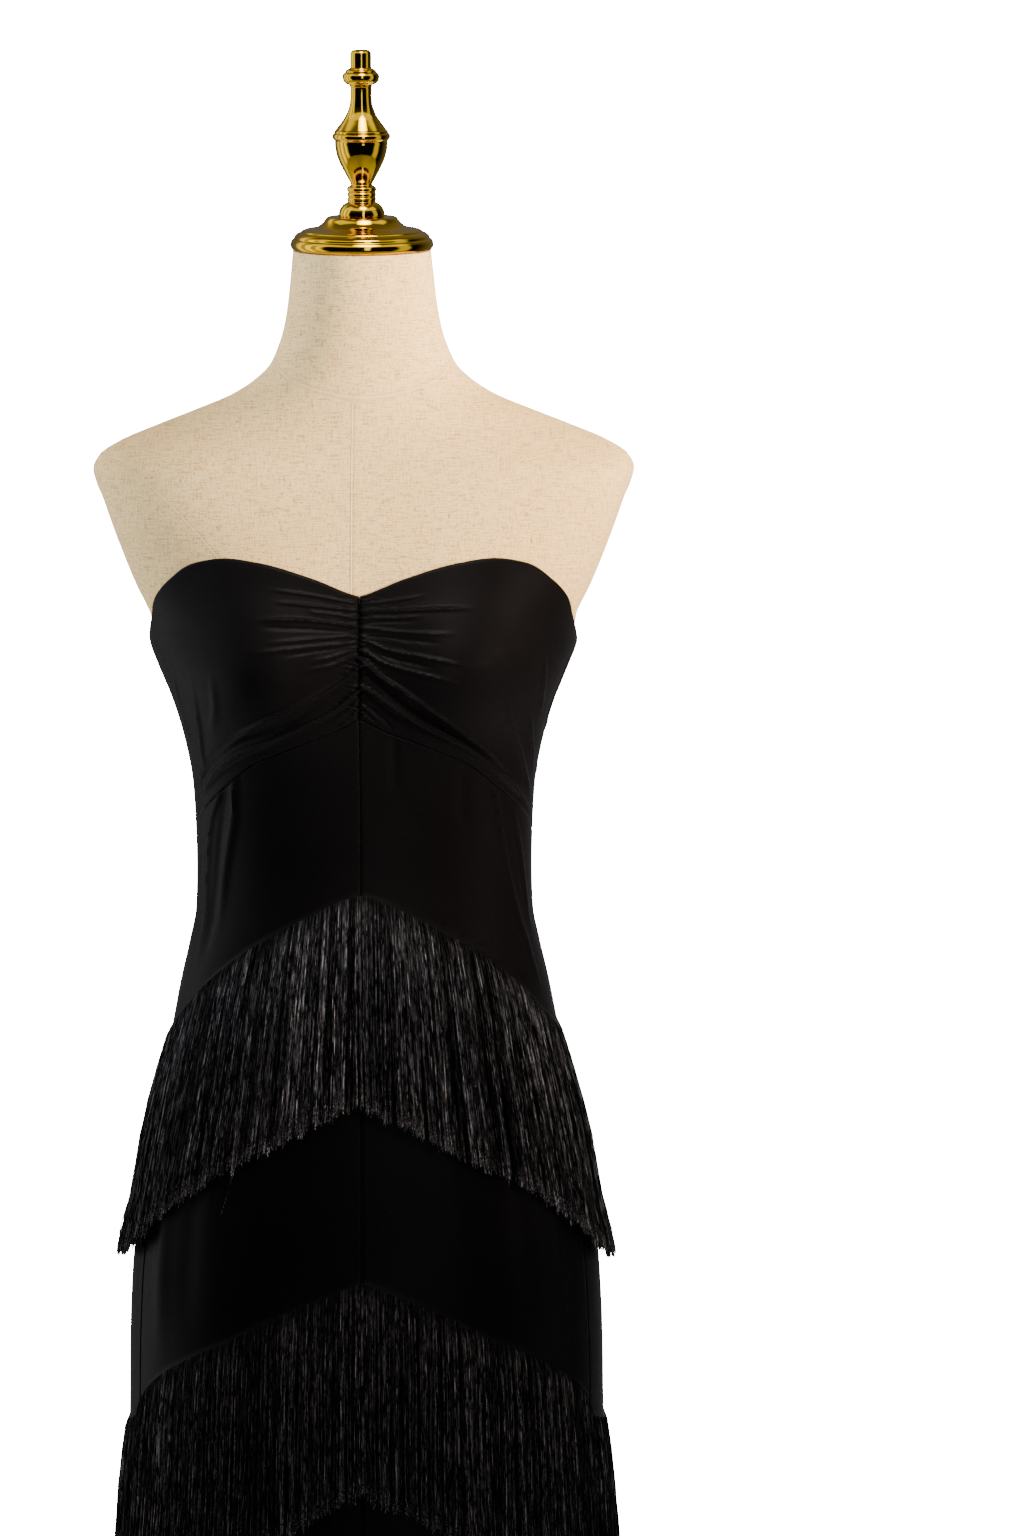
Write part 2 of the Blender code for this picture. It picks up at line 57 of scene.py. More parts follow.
# The outside of the dress from the hem to the underarm, and the form from there to its neck.
# Columns: height, half the width, y of the side line, depth in front of it, depth behind it,
# squareness (2 is an ellipse), and inset, how far inside this surface the form lies.
FIGURE = (
    (0.050, 0.2150, 0.010, 0.150, 0.154, 2.10, 0.0120),
    (0.250, 0.2030, 0.010, 0.142, 0.146, 2.10, 0.0120),
    (0.450, 0.1900, 0.010, 0.134, 0.138, 2.15, 0.0120),
    (0.600, 0.1804, 0.009, 0.127, 0.131, 2.20, 0.0120),
    (0.680, 0.1780, 0.008, 0.123, 0.127, 2.20, 0.0120),
    (0.730, 0.1774, 0.008, 0.121, 0.126, 2.20, 0.0120),
    (0.780, 0.1753, 0.007, 0.119, 0.125, 2.20, 0.0110),
    (0.830, 0.1698, 0.007, 0.117, 0.124, 2.20, 0.0090),
    (0.880, 0.1620, 0.006, 0.114, 0.120, 2.20, 0.0070),
    (0.930, 0.1515, 0.005, 0.110, 0.112, 2.20, 0.0060),
    (0.970, 0.1432, 0.003, 0.106, 0.104, 2.20, 0.0052),
    (1.000, 0.1373, 0.002, 0.102, 0.097, 2.20, 0.0046),
    (1.030, 0.1303, 0.001, 0.098, 0.0915, 2.20, 0.0042),
    (1.055, 0.1256, 0.000, 0.0945, 0.0885, 2.20, 0.0038),
    (1.085, 0.1248, 0.000, 0.093, 0.087, 2.20, 0.0029),
    (1.118, 0.1256, 0.000, 0.094, 0.0875, 2.20, 0.0025),
    (1.148, 0.1275, 0.000, 0.098, 0.090, 2.20, 0.0032),
    (1.178, 0.1330, 0.001, 0.1035, 0.0935, 2.22, 0.0052),
    (1.208, 0.1419, 0.003, 0.1085, 0.097, 2.26, 0.0055),
    (1.235, 0.1530, 0.005, 0.1115, 0.1005, 2.32, 0.0050),
    (1.252, 0.1592, 0.007, 0.1125, 0.1015, 2.36, 0.0040),
    (1.272, 0.1620, 0.009, 0.1125, 0.1015, 2.42, 0.0034),
    (1.290, 0.1706, 0.011, 0.1115, 0.101, 2.46, 0.0030),
    (1.312, 0.1795, 0.013, 0.110, 0.100, 2.50, 0.0025),
    (1.334, 0.1870, 0.015, 0.107, 0.098, 2.50, 0.0014),
    (1.357, 0.1938, 0.017, 0.101, 0.094, 2.45, 0.0000),
    (1.368, 0.1986, 0.018, 0.098, 0.091, 2.35, 0.0000),
    (1.380, 0.2016, 0.018, 0.095, 0.089, 2.20, 0.0000),
    (1.390, 0.1972, 0.019, 0.091, 0.086, 1.95, 0.0000),
    (1.401, 0.1807, 0.019, 0.086, 0.082, 1.75, 0.0000),
    (1.412, 0.1546, 0.018, 0.080, 0.078, 1.62, 0.0000),
    (1.424, 0.1240, 0.017, 0.0735, 0.073, 1.62, 0.0000),
    (1.435, 0.0976, 0.016, 0.066, 0.067, 1.72, 0.0000),
    (1.446, 0.0805, 0.0145, 0.061, 0.061, 1.85, 0.0000),
    (1.457, 0.0693, 0.0125, 0.058, 0.057, 1.97, 0.0000),
    (1.468, 0.0640, 0.010, 0.0565, 0.054, 2.00, 0.0000),
    (1.480, 0.0597, 0.0075, 0.055, 0.052, 2.00, 0.0000),
    (1.500, 0.0557, 0.003, 0.054, 0.0515, 2.00, 0.0000),
    (1.541, 0.0512, -0.004, 0.052, 0.052, 2.00, 0.0000),
)

# The bust: two soft rises on the front, which fade out towards the side line.
BUST_HEIGHT = 1.228
BUST_SIDE = 0.078
BUST_RISE = 0.0225
BUST_WIDTH = 0.055
BUST_REACH_UP = 0.060
BUST_REACH_DOWN = 0.045
BUST_SIDE_FADE = 0.4

# The neck leans forward, so its top is a tilted plane that the cap and the finial stand on.
NECK_LEAN = math.radians(5.5)
LEAN_START = 1.457
NECK_TOP = 1.541

# Seams of the dress. Columns: turn from the centre front, height.
NECKLINE = (
    (0, 1.2893), (8, 1.3027), (19, 1.3133), (28, 1.3166), (38, 1.313), (50, 1.3005),
    (66, 1.282), (90, 1.2513), (120, 1.245), (180, 1.244),
)
EMPIRE_SEAM = (
    (0, 1.2001), (6, 1.1912), (14, 1.1839), (24.5, 1.1746), (35, 1.1658), (43, 1.156),
    (55, 1.1422), (72, 1.126), (90, 1.1113), (180, 1.108),
)
UPPER_CHEVRON = (
    (0, 1.0703), (5.5, 1.0663), (11.5, 1.0596), (23.5, 1.0456), (38.5, 1.0276),
    (55.5, 1.0019), (69.5, 0.9794), (90, 0.9578),
)
LOWER_CHEVRON = (
    (0, 0.7877), (6, 0.7788), (13, 0.7692), (21.5, 0.7576), (31, 0.743), (41, 0.7307),
    (56, 0.7117), (67, 0.6927), (72, 0.676), (90, 0.667),
)
HEM_HEIGHT = 0.06

# The side seam swings to the front below the hip. Columns: height, turn.
SIDE_SEAM = (
    (0.06, 78), (0.45, 72), (0.672, 69.5), (0.8, 69), (0.88, 74), (0.93, 84),
    (0.958, 90), (1.26, 90),
)

# Soft folds of the hanging skirt. Columns: turn, width in degrees, rise at the hem.
HANG_FOLDS = (
    (24, 9, 0.015), (58, 10, 0.018), (95, 9, 0.013), (129, 10, 0.017), (163, 9, 0.014),
    (198, 10, 0.016), (231, 9, 0.015), (264, 9, 0.013), (301, 10, 0.018), (336, 9, 0.015),
)
HANG_TOP = 0.7
HANG_BOTTOM = 0.1

# The upper edge of each skirt panel is tucked in behind the fringe, and the lower edge of the
# panel above stands proud of the fringe's roots and laps over them.
TUCK = 0.001
TUCK_HEIGHT = 0.03
LIP_RISE = 0.0013
LIP_HEIGHT = 0.003
LIP_OVERLAP = 0.0016
# The cloth rolls in at its other edges.
SEAM_ROLL = 0.0012
SEAM_ROLL_WIDTH = 0.0006
# Where the first rows and columns of a panel's grid are, as shares of its height or width.
EDGE_SHARES = (0.0022, 0.0048, 0.009, 0.017)
# A panel's grid is laid out again and again until its turns and heights agree.
GRID_ROUNDS = 12

# Creases. Columns: width, rise (a trough's is negative), share of the rise that it starts
# with, and the points that it runs through, as turn and height.
# The gathers on the wearer's right, which run out from the centre seam, and the sweep of
# folds under the bust.
RIGHT_GATHERS = (
    (0.0012, 0.0008, 1, ((0, 1.284), (-7.2, 1.2899), (-18.7, 1.295))),
    (0.0012, 0.0011, 1, ((0, 1.279), (-7.5, 1.2827), (-17.9, 1.2859))),
    (0.0011, 0.0008, 1, ((0, 1.2735), (-4, 1.2765), (-10, 1.279))),
    (0.0014, 0.0019, 1, ((0, 1.2674), (-6, 1.271), (-13.5, 1.273), (-24.5, 1.2726))),
    (0.0013, -0.001, 0.2, ((-2, 1.2645), (-12.3, 1.2664), (-23, 1.2678))),
    (0.0013, 0.0013, 1, ((0, 1.2609), (-6.9, 1.2594), (-22, 1.2555))),
    (0.0014, 0.0012, 1, ((0, 1.256), (-10.6, 1.2531), (-28, 1.2479))),
    (0.0013, -0.0009, 0.3, ((-3, 1.2522), (-10, 1.2497), (-19, 1.2462))),
    (0.0013, 0.0013, 1, ((0, 1.251), (-3.4, 1.2474), (-11.1, 1.2413))),
    (0.0013, 0.0011, 1, ((0, 1.2462), (-4.2, 1.241), (-13.2, 1.2344))),
    (0.0023, 0.0036, 1, ((0.2, 1.24), (-1.8, 1.231), (-8.5, 1.2182), (-19.6, 1.2052),
                           (-33, 1.1925), (-47, 1.1795))),
    (0.0033, -0.0027, 0, ((-3, 1.224), (-17.1, 1.2003), (-41.7, 1.1793), (-55, 1.1667),
                            (-66.1, 1.1519), (-74, 1.13))),
    (0.0023, 0.0034, 1, ((0, 1.2215), (-4.3, 1.2092), (-12.8, 1.1972), (-26.4, 1.184),
                           (-38, 1.1752), (-50, 1.1628), (-62.5, 1.1469), (-78, 1.126))),
    (0.0011, 0.0012, 1, ((0, 1.215), (-2, 1.2065), (-6.5, 1.1975))),
    (0.0011, 0.0011, 1, ((0, 1.2085), (-1.7, 1.2008), (-5, 1.1948))),
)
# The same on the wearer's left.
LEFT_GATHERS = (
    (0.0011, 0.0008, 1, ((0, 1.2836), (5, 1.2862), (13, 1.2905))),
    (0.0013, 0.0019, 1, ((0, 1.2788), (7, 1.2794), (16.8, 1.2806), (27, 1.2807))),
    (0.0012, 0.0009, 1, ((0, 1.2736), (6, 1.2738), (13.2, 1.2755))),
    (0.0012, -0.0008, 0.4, ((1.5, 1.2709), (6, 1.2712), (12, 1.2724))),
    (0.0013, 0.0013, 1, ((0, 1.2672), (6.2, 1.2644), (13.3, 1.2629), (23.5, 1.2624))),
    (0.0013, -0.0009, 0.3, ((2.6, 1.2608), (9.7, 1.2583), (19.5, 1.2556))),
    (0.0013, 0.0015, 1, ((0, 1.2592), (5.2, 1.2512), (12.4, 1.2468), (20.8, 1.2425),
                           (30, 1.2372))),
    (0.0013, -0.0013, 0.5, ((1.2, 1.2505), (6.7, 1.2446), (12.7, 1.2408), (20, 1.237))),
    (0.0014, 0.0016, 1, ((0, 1.251), (3.5, 1.2432), (8.4, 1.2377), (18.3, 1.2313),
                           (33.5, 1.2205))),
    (0.0022, 0.0035, 1, ((0, 1.2445), (3.7, 1.2321), (9, 1.2224), (18.5, 1.2064),
                           (29.6, 1.1902), (43.4, 1.1732), (63, 1.15))),
    (0.0029, -0.0027, 0.1, ((1, 1.233), (7.7, 1.2169), (19, 1.1978), (31, 1.1838),
                            (45, 1.1668), (60, 1.149))),
    (0.0022, 0.003, 1, ((0, 1.225), (7.2, 1.2096), (15.4, 1.196), (25.7, 1.1846),
                           (40.8, 1.169), (49.2, 1.1588), (64.3, 1.1416), (84, 1.119))),
    (0.0012, -0.0009, 0.6, ((0.8, 1.212), (5.8, 1.2002), (8.6, 1.1914))),
    (0.0011, 0.001, 1, ((0, 1.212), (2.4, 1.205), (5.6, 1.196))),
    (0.0011, 0.0009, 1, ((0, 1.206), (1.6, 1.201), (3.6, 1.196))),
)
# Drag folds where the bodice front is pulled to the side seams, on both sides.
SIDE_DRAGS = (
    (0.0026, 0.0017, 0.1, ((-53.5, 1.229), (-59.5, 1.1887), (-64.5, 1.154))),
    (0.0026, 0.0016, 0, ((-61, 1.242), (-69.1, 1.2054), (-71, 1.164))),
    (0.0034, 0.0012, 0, ((-42, 1.238), (-46, 1.208), (-53, 1.185))),
    (0.0034, -0.0012, 0, ((-74, 1.256), (-80, 1.215), (-79, 1.175))),
    (0.0026, 0.0017, 0, ((41, 1.223), (52, 1.193), (64, 1.164), (82, 1.129))),
    (0.0024, 0.0014, 0, ((60, 1.205), (68, 1.18), (79, 1.152))),
    (0.0027, 0.0013, 0, ((56, 1.247), (64, 1.22), (71.4, 1.193))),
    (0.0034, -0.0012, 0, ((76, 1.252), (81, 1.218), (80, 1.18))),
)
# Soft pulls across the plain back of the bodice.
BACK_PULLS = (
    (0.004, 0.001, 0.7, ((91, 1.218), (112, 1.212), (136, 1.214))),
    (0.0036, 0.0011, 0.7, ((91, 1.19), (108, 1.183), (128, 1.181))),
    (0.004, 0.0009, 0.7, ((91, 1.156), (106, 1.15), (122, 1.149))),
    (0.004, 0.0011, 0.7, ((269, 1.221), (250, 1.214), (226, 1.216))),
    (0.0034, 0.001, 0.7, ((269, 1.186), (249, 1.18), (233, 1.179))),
    (0.0042, 0.001, 0.7, ((269, 1.15), (252, 1.145), (240, 1.146))),
)
# Soft vertical folds of the midriff, below the empire seam.
MIDRIFF_FOLDS = (
    (0.0034, 0.002, 0.9, ((-45, 1.153), (-46.5, 1.125), (-52, 1.085), (-56, 1.03))),
    (0.0028, 0.0018, 0.9, ((-53.5, 1.143), (-62.3, 1.113), (-66, 1.06), (-66.5, 0.995))),
    (0.0033, -0.0014, 0.5, ((-50.5, 1.14), (-55.5, 1.105), (-60, 1.05), (-61, 1.01))),
    (0.004, 0.0015, 0.1, ((-72, 1.115), (-76, 1.07), (-77, 1))),
    (0.0034, -0.0015, 0.8, ((8.9, 1.185), (9.3, 1.166), (9.8, 1.142))),
    (0.0041, -0.0009, 0.5, ((33, 1.162), (34, 1.14), (35, 1.108))),
    (0.0027, 0.0016, 0.9, ((48.5, 1.146), (57.5, 1.083), (66.5, 1.04), (72, 0.985))),
    (0.0028, 0.0012, 0.3, ((62, 1.126), (71, 1.08), (77, 1.03))),
    (0.0048, 0.0015, 0.4, ((118, 1.1), (124, 1.06), (127, 1.01))),
    (0.0048, 0.0014, 0.3, ((146, 1.104), (150, 1.07), (152, 1.035))),
    (0.0048, 0.0014, 0.3, ((215, 1.104), (211, 1.068), (208, 1.035))),
    (0.0048, 0.0016, 0.4, ((240, 1.1), (236, 1.06), (232, 1.01))),
)
# Soft vertical folds of the upper skirt, which fall from under the fringe.
UPPER_SKIRT_FOLDS = (
    (0.0075, 0.0022, 0.4, ((-60, 0.93), (-58, 0.83), (-56.5, 0.708))),
    (0.008, -0.0012, 0.3, ((-46, 0.94), (-46, 0.83), (-45, 0.725))),
    (0.01, 0.001, 0.2, ((-27, 0.96), (-26, 0.86), (-27, 0.75))),
    (0.008, 0.0014, 0.3, ((54, 0.93), (54.5, 0.82), (52.5, 0.718))),
    (0.009, -0.001, 0.3, ((43, 0.94), (42, 0.83), (42, 0.73))),
    (0.011, 0.0009, 0.2, ((22, 0.97), (23, 0.86), (22, 0.758))),
    (0.01, 0.002, 0.3, ((112, 0.93), (113, 0.82), (112, 0.7))),
    (0.01, 0.0018, 0.3, ((150, 0.97), (150, 0.85), (151, 0.75))),
    (0.01, 0.0018, 0.3, ((208, 0.97), (209, 0.85), (208, 0.75))),
    (0.01, 0.0021, 0.3, ((246, 0.93), (247, 0.82), (249, 0.7))),
)
# Smaller folds between the big ones of the lower skirt.
LOWER_SKIRT_FOLDS = (
    (0.009, 0.004, 0, ((-41, 0.6), (-41, 0.35), (-42, 0.06))),
    (0.008, 0.003, 0, ((-8, 0.54), (-8, 0.33), (-8.5, 0.06))),
    (0.009, 0.0035, 0, ((10, 0.46), (10.5, 0.26), (11, 0.06))),
    (0.0085, 0.004, 0, ((42, 0.62), (41.5, 0.35), (41, 0.06))),
    (0.009, 0.003, 0, ((111, 0.6), (112, 0.32), (112.5, 0.06))),
    (0.009, 0.0035, 0, ((146, 0.55), (146, 0.3), (147, 0.06))),
    (0.0085, 0.003, 0, ((180, 0.6), (180, 0.3), (181, 0.06))),
    (0.009, 0.004, 0, ((215, 0.5), (214, 0.3), (214, 0.06))),
    (0.009, 0.003, 0, ((247, 0.6), (248, 0.3), (248, 0.06))),
)
CREASE_STEPS = 24
# A crease has its whole rise from the first share of its length to the second.
CREASE_WHOLE = (0.35, 0.68)
# Its width where it starts, and how much it widens to its end, as shares of its width.
CREASE_START_WIDTH = 0.70
CREASE_WIDENING = 0.45

# The puckers where both fronts are gathered into the centre seam.
# Columns: wave length along the seam, rise.
PUCKERS = ((0.0041, 0.00075), (0.0058, 0.00055), (0.0027, 0.00035))
PUCKER_REACH = 0.0075
# They slope up above this height and down below it, and are staggered across the seam.
PUCKER_LEVEL = 1.243
PUCKER_SLOPE = 0.25
PUCKER_STAGGER = 0.0011
# Uneven spacing: how much the waves shift, and how often along the seam, in radians a metre.
PUCKER_SHIFT = 1.4
PUCKER_SHIFT_PACE = 390
CENTRE_VALLEY = 0.0016
CENTRE_VALLEY_WIDTH = 0.0018

# The fringe.
# Columns: turn from the front, length.
FRINGE_LENGTHS = (
    (0, 0.1545), (6, 0.1585), (14, 0.1615), (30, 0.1665), (55, 0.1690), (66, 0.1715),
    (76, 0.1750), (84, 0.1720), (90, 0.1660), (110, 0.1640), (180, 0.1610),
)
THREAD_RADIUS = 0.00033
# Least and most, as shares of that radius, and least and most twist, in radians.
THREAD_RADII = (0.8, 1.2)
THREAD_TWISTS = (2.0, 7.0)
THREADS_PER_METRE = 8400
BACK_THREADS_PER_METRE = 5200
# Where a thread's sections are. Columns: share of the way down, least and most distance
# off the cloth.
THREAD_SECTIONS = (
    (0.0, 0.0002, 0.0012), (0.04, 0.0012, 0.0034), (0.17, 0.0014, 0.0058),
    (0.32, 0.0018, 0.0074), (0.48, 0.0021, 0.0080), (0.64, 0.0024, 0.0084),
    (0.80, 0.0027, 0.0090), (0.93, 0.0030, 0.0097), (1.0, 0.0032, 0.0102),
)
# Middle and spread of the threads' tone, from 0, dull, to 1, bright.
THREAD_TONE = (0.5, 0.26)
# The spread of a thread's length, and how much is trimmed off it at random.
RAGGED = 0.0017
TRIMMED_OFF = 0.0018
# A few threads are shorter, by these shares of their length.
SHORT_THREADS = 0.02
SHORT_LENGTHS = (0.86, 0.98)
# The trimmed edge rises and falls. Columns: rise, pace along the seam in radians a metre.
TRIM_WAVES = ((0.0012, 37), (0.0009, 113))
# A thread's own sideways waves. Columns: size, radians from its root to its end, and the
# share of its length where the wave is whole.
THREAD_WAVES = ((0.00030, 9.0, 0.3), (0.00018, 23.0, 0.2))
# Its wave out and in: size and radians.
DEPTH_WAVE = (0.00035, 13.0)
# Below this share of its length it hangs loose, by so much sideways and outwards.
LOOSE_START = 0.85
LOOSE_SIDEWAYS = 0.0006
LOOSE_OUTWARDS = (-0.0004, 0.0008)
# Its cut end is lighter in tone and drawn in.
CUT_END_START = 0.97
CUT_END_TONE = 0.22
CUT_END_RADIUS = 0.55
# Threads hold together in small locks, which share their lean, depth, length and tone.
LOCK_WIDTHS = (0.0010, 0.0044)
LOCK_SPACING = 0.0020
LOCK_LEAN = 0.0009
LOCK_PULL = 0.26
LOCK_PULL_END = 0.9
LOCK_DEPTH = 0.25
LOCK_LENGTH = 0.0011
LOCK_TONE = 0.08
# At the sides the ends of the fringe flick outwards.
FLICK = 0.0035
FLICK_START = 55.0
FLICK_FROM = 0.78
# The strip that the threads are sewn into. Columns: drop below the seam, distance off the
# cloth that is tucked in behind it.
STRIP_CORNERS = ((0.0, 0.0014), (0.007, 0.0022), (0.007, 0.0012), (0.0, 0.0008))
STRIP_POINTS = 160
STRIP_TONE = 0.2
# Single threads that hang lower than the rest. Columns: turn, length, sideways drift.
STRAYS = {
    ("upper", "front"): ((-29.0, 0.204, -0.011), (-34.5, 0.212, -0.012)),
    ("upper", "back"): ((150.0, 0.192, 0.006), (212.0, 0.186, -0.005)),
    ("lower", "front"): ((24.0, 0.189, 0.007), (-47.0, 0.195, -0.006)),
    ("lower", "back"): ((141.0, 0.188, -0.006), (226.0, 0.197, 0.008)),
}

# Turned profiles of the gold fittings, from the bottom up, in runs that are smooth within
# themselves and meet in a crisp edge. Each run starts where the one before it ends.
# Columns: height above the piece's foot, radius.
CAP_RUNS = (
    ((0.0000, 0.0502), (0.0010, 0.0520), (0.0034, 0.0530), (0.0060, 0.0527), (0.0078, 0.0516)),
    ((0.0086, 0.0505), (0.0104, 0.0498), (0.0122, 0.0478), (0.0132, 0.0452)),
    ((0.0142, 0.0444), (0.0152, 0.0420), (0.0156, 0.0388)),
    ((0.0162, 0.0352), (0.0178, 0.0318), (0.0204, 0.0286), (0.0232, 0.0266)),
    ((0.0240, 0.0258), (0.0245, 0.0244), (0.0246, 0.0200)),
    ((0.0246, 0.0010),),
)
FINIAL_RUNS = (
    ((0.0000, 0.0168), (0.0014, 0.0171), (0.0036, 0.0167), (0.0062, 0.0156), (0.0086, 0.0136),
     (0.0100, 0.0112)),
    ((0.0106, 0.0104), (0.0112, 0.0103)),
    ((0.0124, 0.0108), (0.0134, 0.0106), (0.0142, 0.0100)),
    ((0.0154, 0.0107), (0.0166, 0.0106), (0.0176, 0.0100)),
    ((0.0190, 0.0109), (0.0202, 0.0110), (0.0214, 0.0104), (0.0222, 0.0092)),
    ((0.0230, 0.0083), (0.0238, 0.0081), (0.0248, 0.0085)),
    ((0.0290, 0.0108), (0.0340, 0.0135), (0.0400, 0.0164), (0.0460, 0.0185), (0.0520, 0.0195),
     (0.0546, 0.0196)),
    ((0.0556, 0.0197), (0.0562, 0.0203)),
    ((0.0574, 0.0213), (0.0590, 0.0215), (0.0604, 0.0210), (0.0612, 0.0200)),
    ((0.0624, 0.0199), (0.0634, 0.0190)),
    ((0.0660, 0.0170), (0.0690, 0.0148), (0.0734, 0.0118), (0.0785, 0.0095), (0.0840, 0.0082),
     (0.0900, 0.0079), (0.0948, 0.0080)),
    ((0.0956, 0.0084), (0.0962, 0.0084)),
    ((0.0972, 0.0108), (0.0990, 0.0128), (0.1014, 0.0137), (0.1036, 0.0135), (0.1053, 0.0124),
     (0.1060, 0.0113)),
    ((0.1068, 0.0114), (0.1076, 0.0106), (0.1082, 0.0092)),
    ((0.1090, 0.0080), (0.1102, 0.0078), (0.1186, 0.0078), (0.1205, 0.0074), (0.1217, 0.0063),
     (0.1222, 0.0044), (0.1222, 0.0006)),
)
CAP_HEIGHT = 0.0245
RUN_STEPS = 4
CAP_SIDES = 96
FINIAL_SIDES = 56

# The stand.
POLE_RADIUS = 0.0125
POLE_SIDES = 48
POLE_TOP = 0.790
BASE_SIDES = 96
BASE_RUNS = (
    ((0.0000, 0.0100), (0.0000, 0.1690)),
    ((0.0010, 0.1710), (0.0040, 0.1720), (0.0120, 0.1720), (0.0150, 0.1712), (0.0170, 0.1690),
     (0.0178, 0.1660)),
    ((0.0186, 0.1480), (0.0202, 0.1100), (0.0216, 0.0640), (0.0220, 0.0300), (0.0220, 0.0100)),
)

# The form's rounded lower edge. Columns: height, how far it is drawn in.
FORM_BOTTOM = ((0.7900, 0.0250), (0.7908, 0.0190), (0.7935, 0.0120), (0.7980, 0.0060),
               (0.8040, 0.0020))
FORM_COLUMNS = 112
# Its rows, closer together at the shoulders and the neck. Columns: height where a band of
# rows ends, and the rows in it, counting the one that it starts from.
FORM_BANDS = ((1.330, 56), (1.470, 44), (NECK_TOP, 18))
# Seams of the form's linen cover. Each lies where a plane cuts the form.
# Columns: the plane's normal, its distance from the origin, lowest and highest z, the y that
# it stops at, and how plainly it shows.
FORM_SEAMS = (
    ((1.0, 0.0, 0.0), -0.0060, 0.8, 1.4305, 1.0, 1.0),
    ((-0.7657, -0.3913, -0.5105), -0.5600, 0.8, 1.3960, 0.0, 0.45),
    ((0.7377, -0.3733, -0.5626), -0.6434, 0.8, 1.3960, 0.0, 0.45),
    ((0.0110, -0.5060, 0.8625), 1.2615, 1.4200, 1.5200, 1.0, 0.60),
    ((1.0, 0.0, -0.2080), -0.0889, 1.3000, 1.4000, 1.0, 0.70),
    ((-1.0, 0.0, -0.2080), -0.0889, 1.3000, 1.4000, 1.0, 0.70),
)


# Shapes that everything shares.


def smooth_rows(table, place):
    """A table's other columns at places of its first, on smooth curves that never overshoot."""
    table = np.asarray(table, dtype=float)
    stops, rows = table[:, 0], table[:, 1:]
    steps = np.diff(stops)
    slopes = np.diff(rows, axis=0) / steps[:, None]
    product = slopes[:-1] * slopes[1:]
    total = np.where(product > 0, slopes[:-1] + slopes[1:], 1.0)
    inner = np.where(product > 0, 2 * product / total, 0.0)
    tangents = np.vstack((slopes[:1], inner, slopes[-1:]))
    place = np.clip(np.asarray(place, dtype=float), stops[0], stops[-1])
    index = np.clip(np.searchsorted(stops, place) - 1, 0, len(steps) - 1)
    width = steps[index]
    t = ((place - stops[index]) / width)[..., None]
    width = width[..., None]
    return (
        (2 * t ** 3 - 3 * t ** 2 + 1) * rows[index]
        + (t ** 3 - 2 * t ** 2 + t) * tangents[index] * width
        + (3 * t ** 2 - 2 * t ** 3) * rows[index + 1]
        + (t ** 3 - t ** 2) * tangents[index + 1] * width
    )


def ease(low, high, value):
    """0 below low, 1 above high, and a smooth rise between them."""
    t = np.clip((value - low) / (high - low), 0.0, 1.0)
    return t * t * (3 - 2 * t)


def ease_down(low, high, value):
    return 1.0 - ease(low, high, value)


def hump(value, middle, width):
    """A smooth rise of 1 at the middle, which fades away over the width."""
    return np.exp(-((value - middle) / width) ** 2)


def signed_power(value, power):
    return np.sign(value) * np.abs(value) ** power


def bust_rise(x, height):
    reach = np.where(height > BUST_HEIGHT, BUST_REACH_UP, BUST_REACH_DOWN)
    sides = hump(x, BUST_SIDE, BUST_WIDTH) + hump(x, -BUST_SIDE, BUST_WIDTH)
    return BUST_RISE * sides * hump(height, BUST_HEIGHT, reach)


def figure(turn, height, out=0.0, form=False):
    """Points at turns and heights, out from the dress's surface, or from the form's."""
    turn, height, out = np.broadcast_arrays(turn, height, out)
    columns = np.moveaxis(smooth_rows(FIGURE, height), -1, 0)
    half_width, centre, front, back, squareness, inset = columns
    if form:
        out = out - inset
    angle = np.radians(turn)
    power = 2 / squareness
    x = (half_width + out) * signed_power(np.sin(angle), power)
    depth = np.where(np.cos(angle) > 0, front, back) + out
    y = centre - depth * signed_power(np.cos(angle), power)
    y = y - bust_rise(x, height) * ease(0.0, BUST_SIDE_FADE, np.cos(angle))
    lean = math.tan(NECK_LEAN) * ease(LEAN_START, NECK_TOP, height)
    return np.stack((x, y, height + (y - centre) * lean), axis=-1)


def fold_turn(turn):
    """The turn from the centre front, whichever side it is on, from 0 to 180."""
    turn = np.abs(turn) % FULL_TURN
    return np.minimum(turn, FULL_TURN - turn)


def neckline(turn):
    return smooth_rows(NECKLINE, fold_turn(turn))[..., 0]


def empire_seam(turn):
    return smooth_rows(EMPIRE_SEAM, fold_turn(turn))[..., 0]


def chevron(table, turn):
    """A chevron seam, the same at the back as at the front."""
    from_front = fold_turn(turn)
    return smooth_rows(table, np.minimum(from_front, 2 * SIDE_TURN - from_front))[..., 0]


def upper_chevron(turn):
    return chevron(UPPER_CHEVRON, turn)


def lower_chevron(turn):
    return chevron(LOWER_CHEVRON, turn)


def hem(turn):
    return np.full(np.shape(turn), HEM_HEIGHT)


def side_seam(height):
    return smooth_rows(SIDE_SEAM, height)[..., 0]


def hang_fold(turn, height):
    """How far the hanging folds stand out, growing towards the hem."""
    rise = 0.0
    for fold, width, depth in HANG_FOLDS:
        rise = rise + depth * hump(fold_turn(turn - fold), 0.0, width)
    return rise * ease_down(HANG_BOTTOM, HANG_TOP, height)


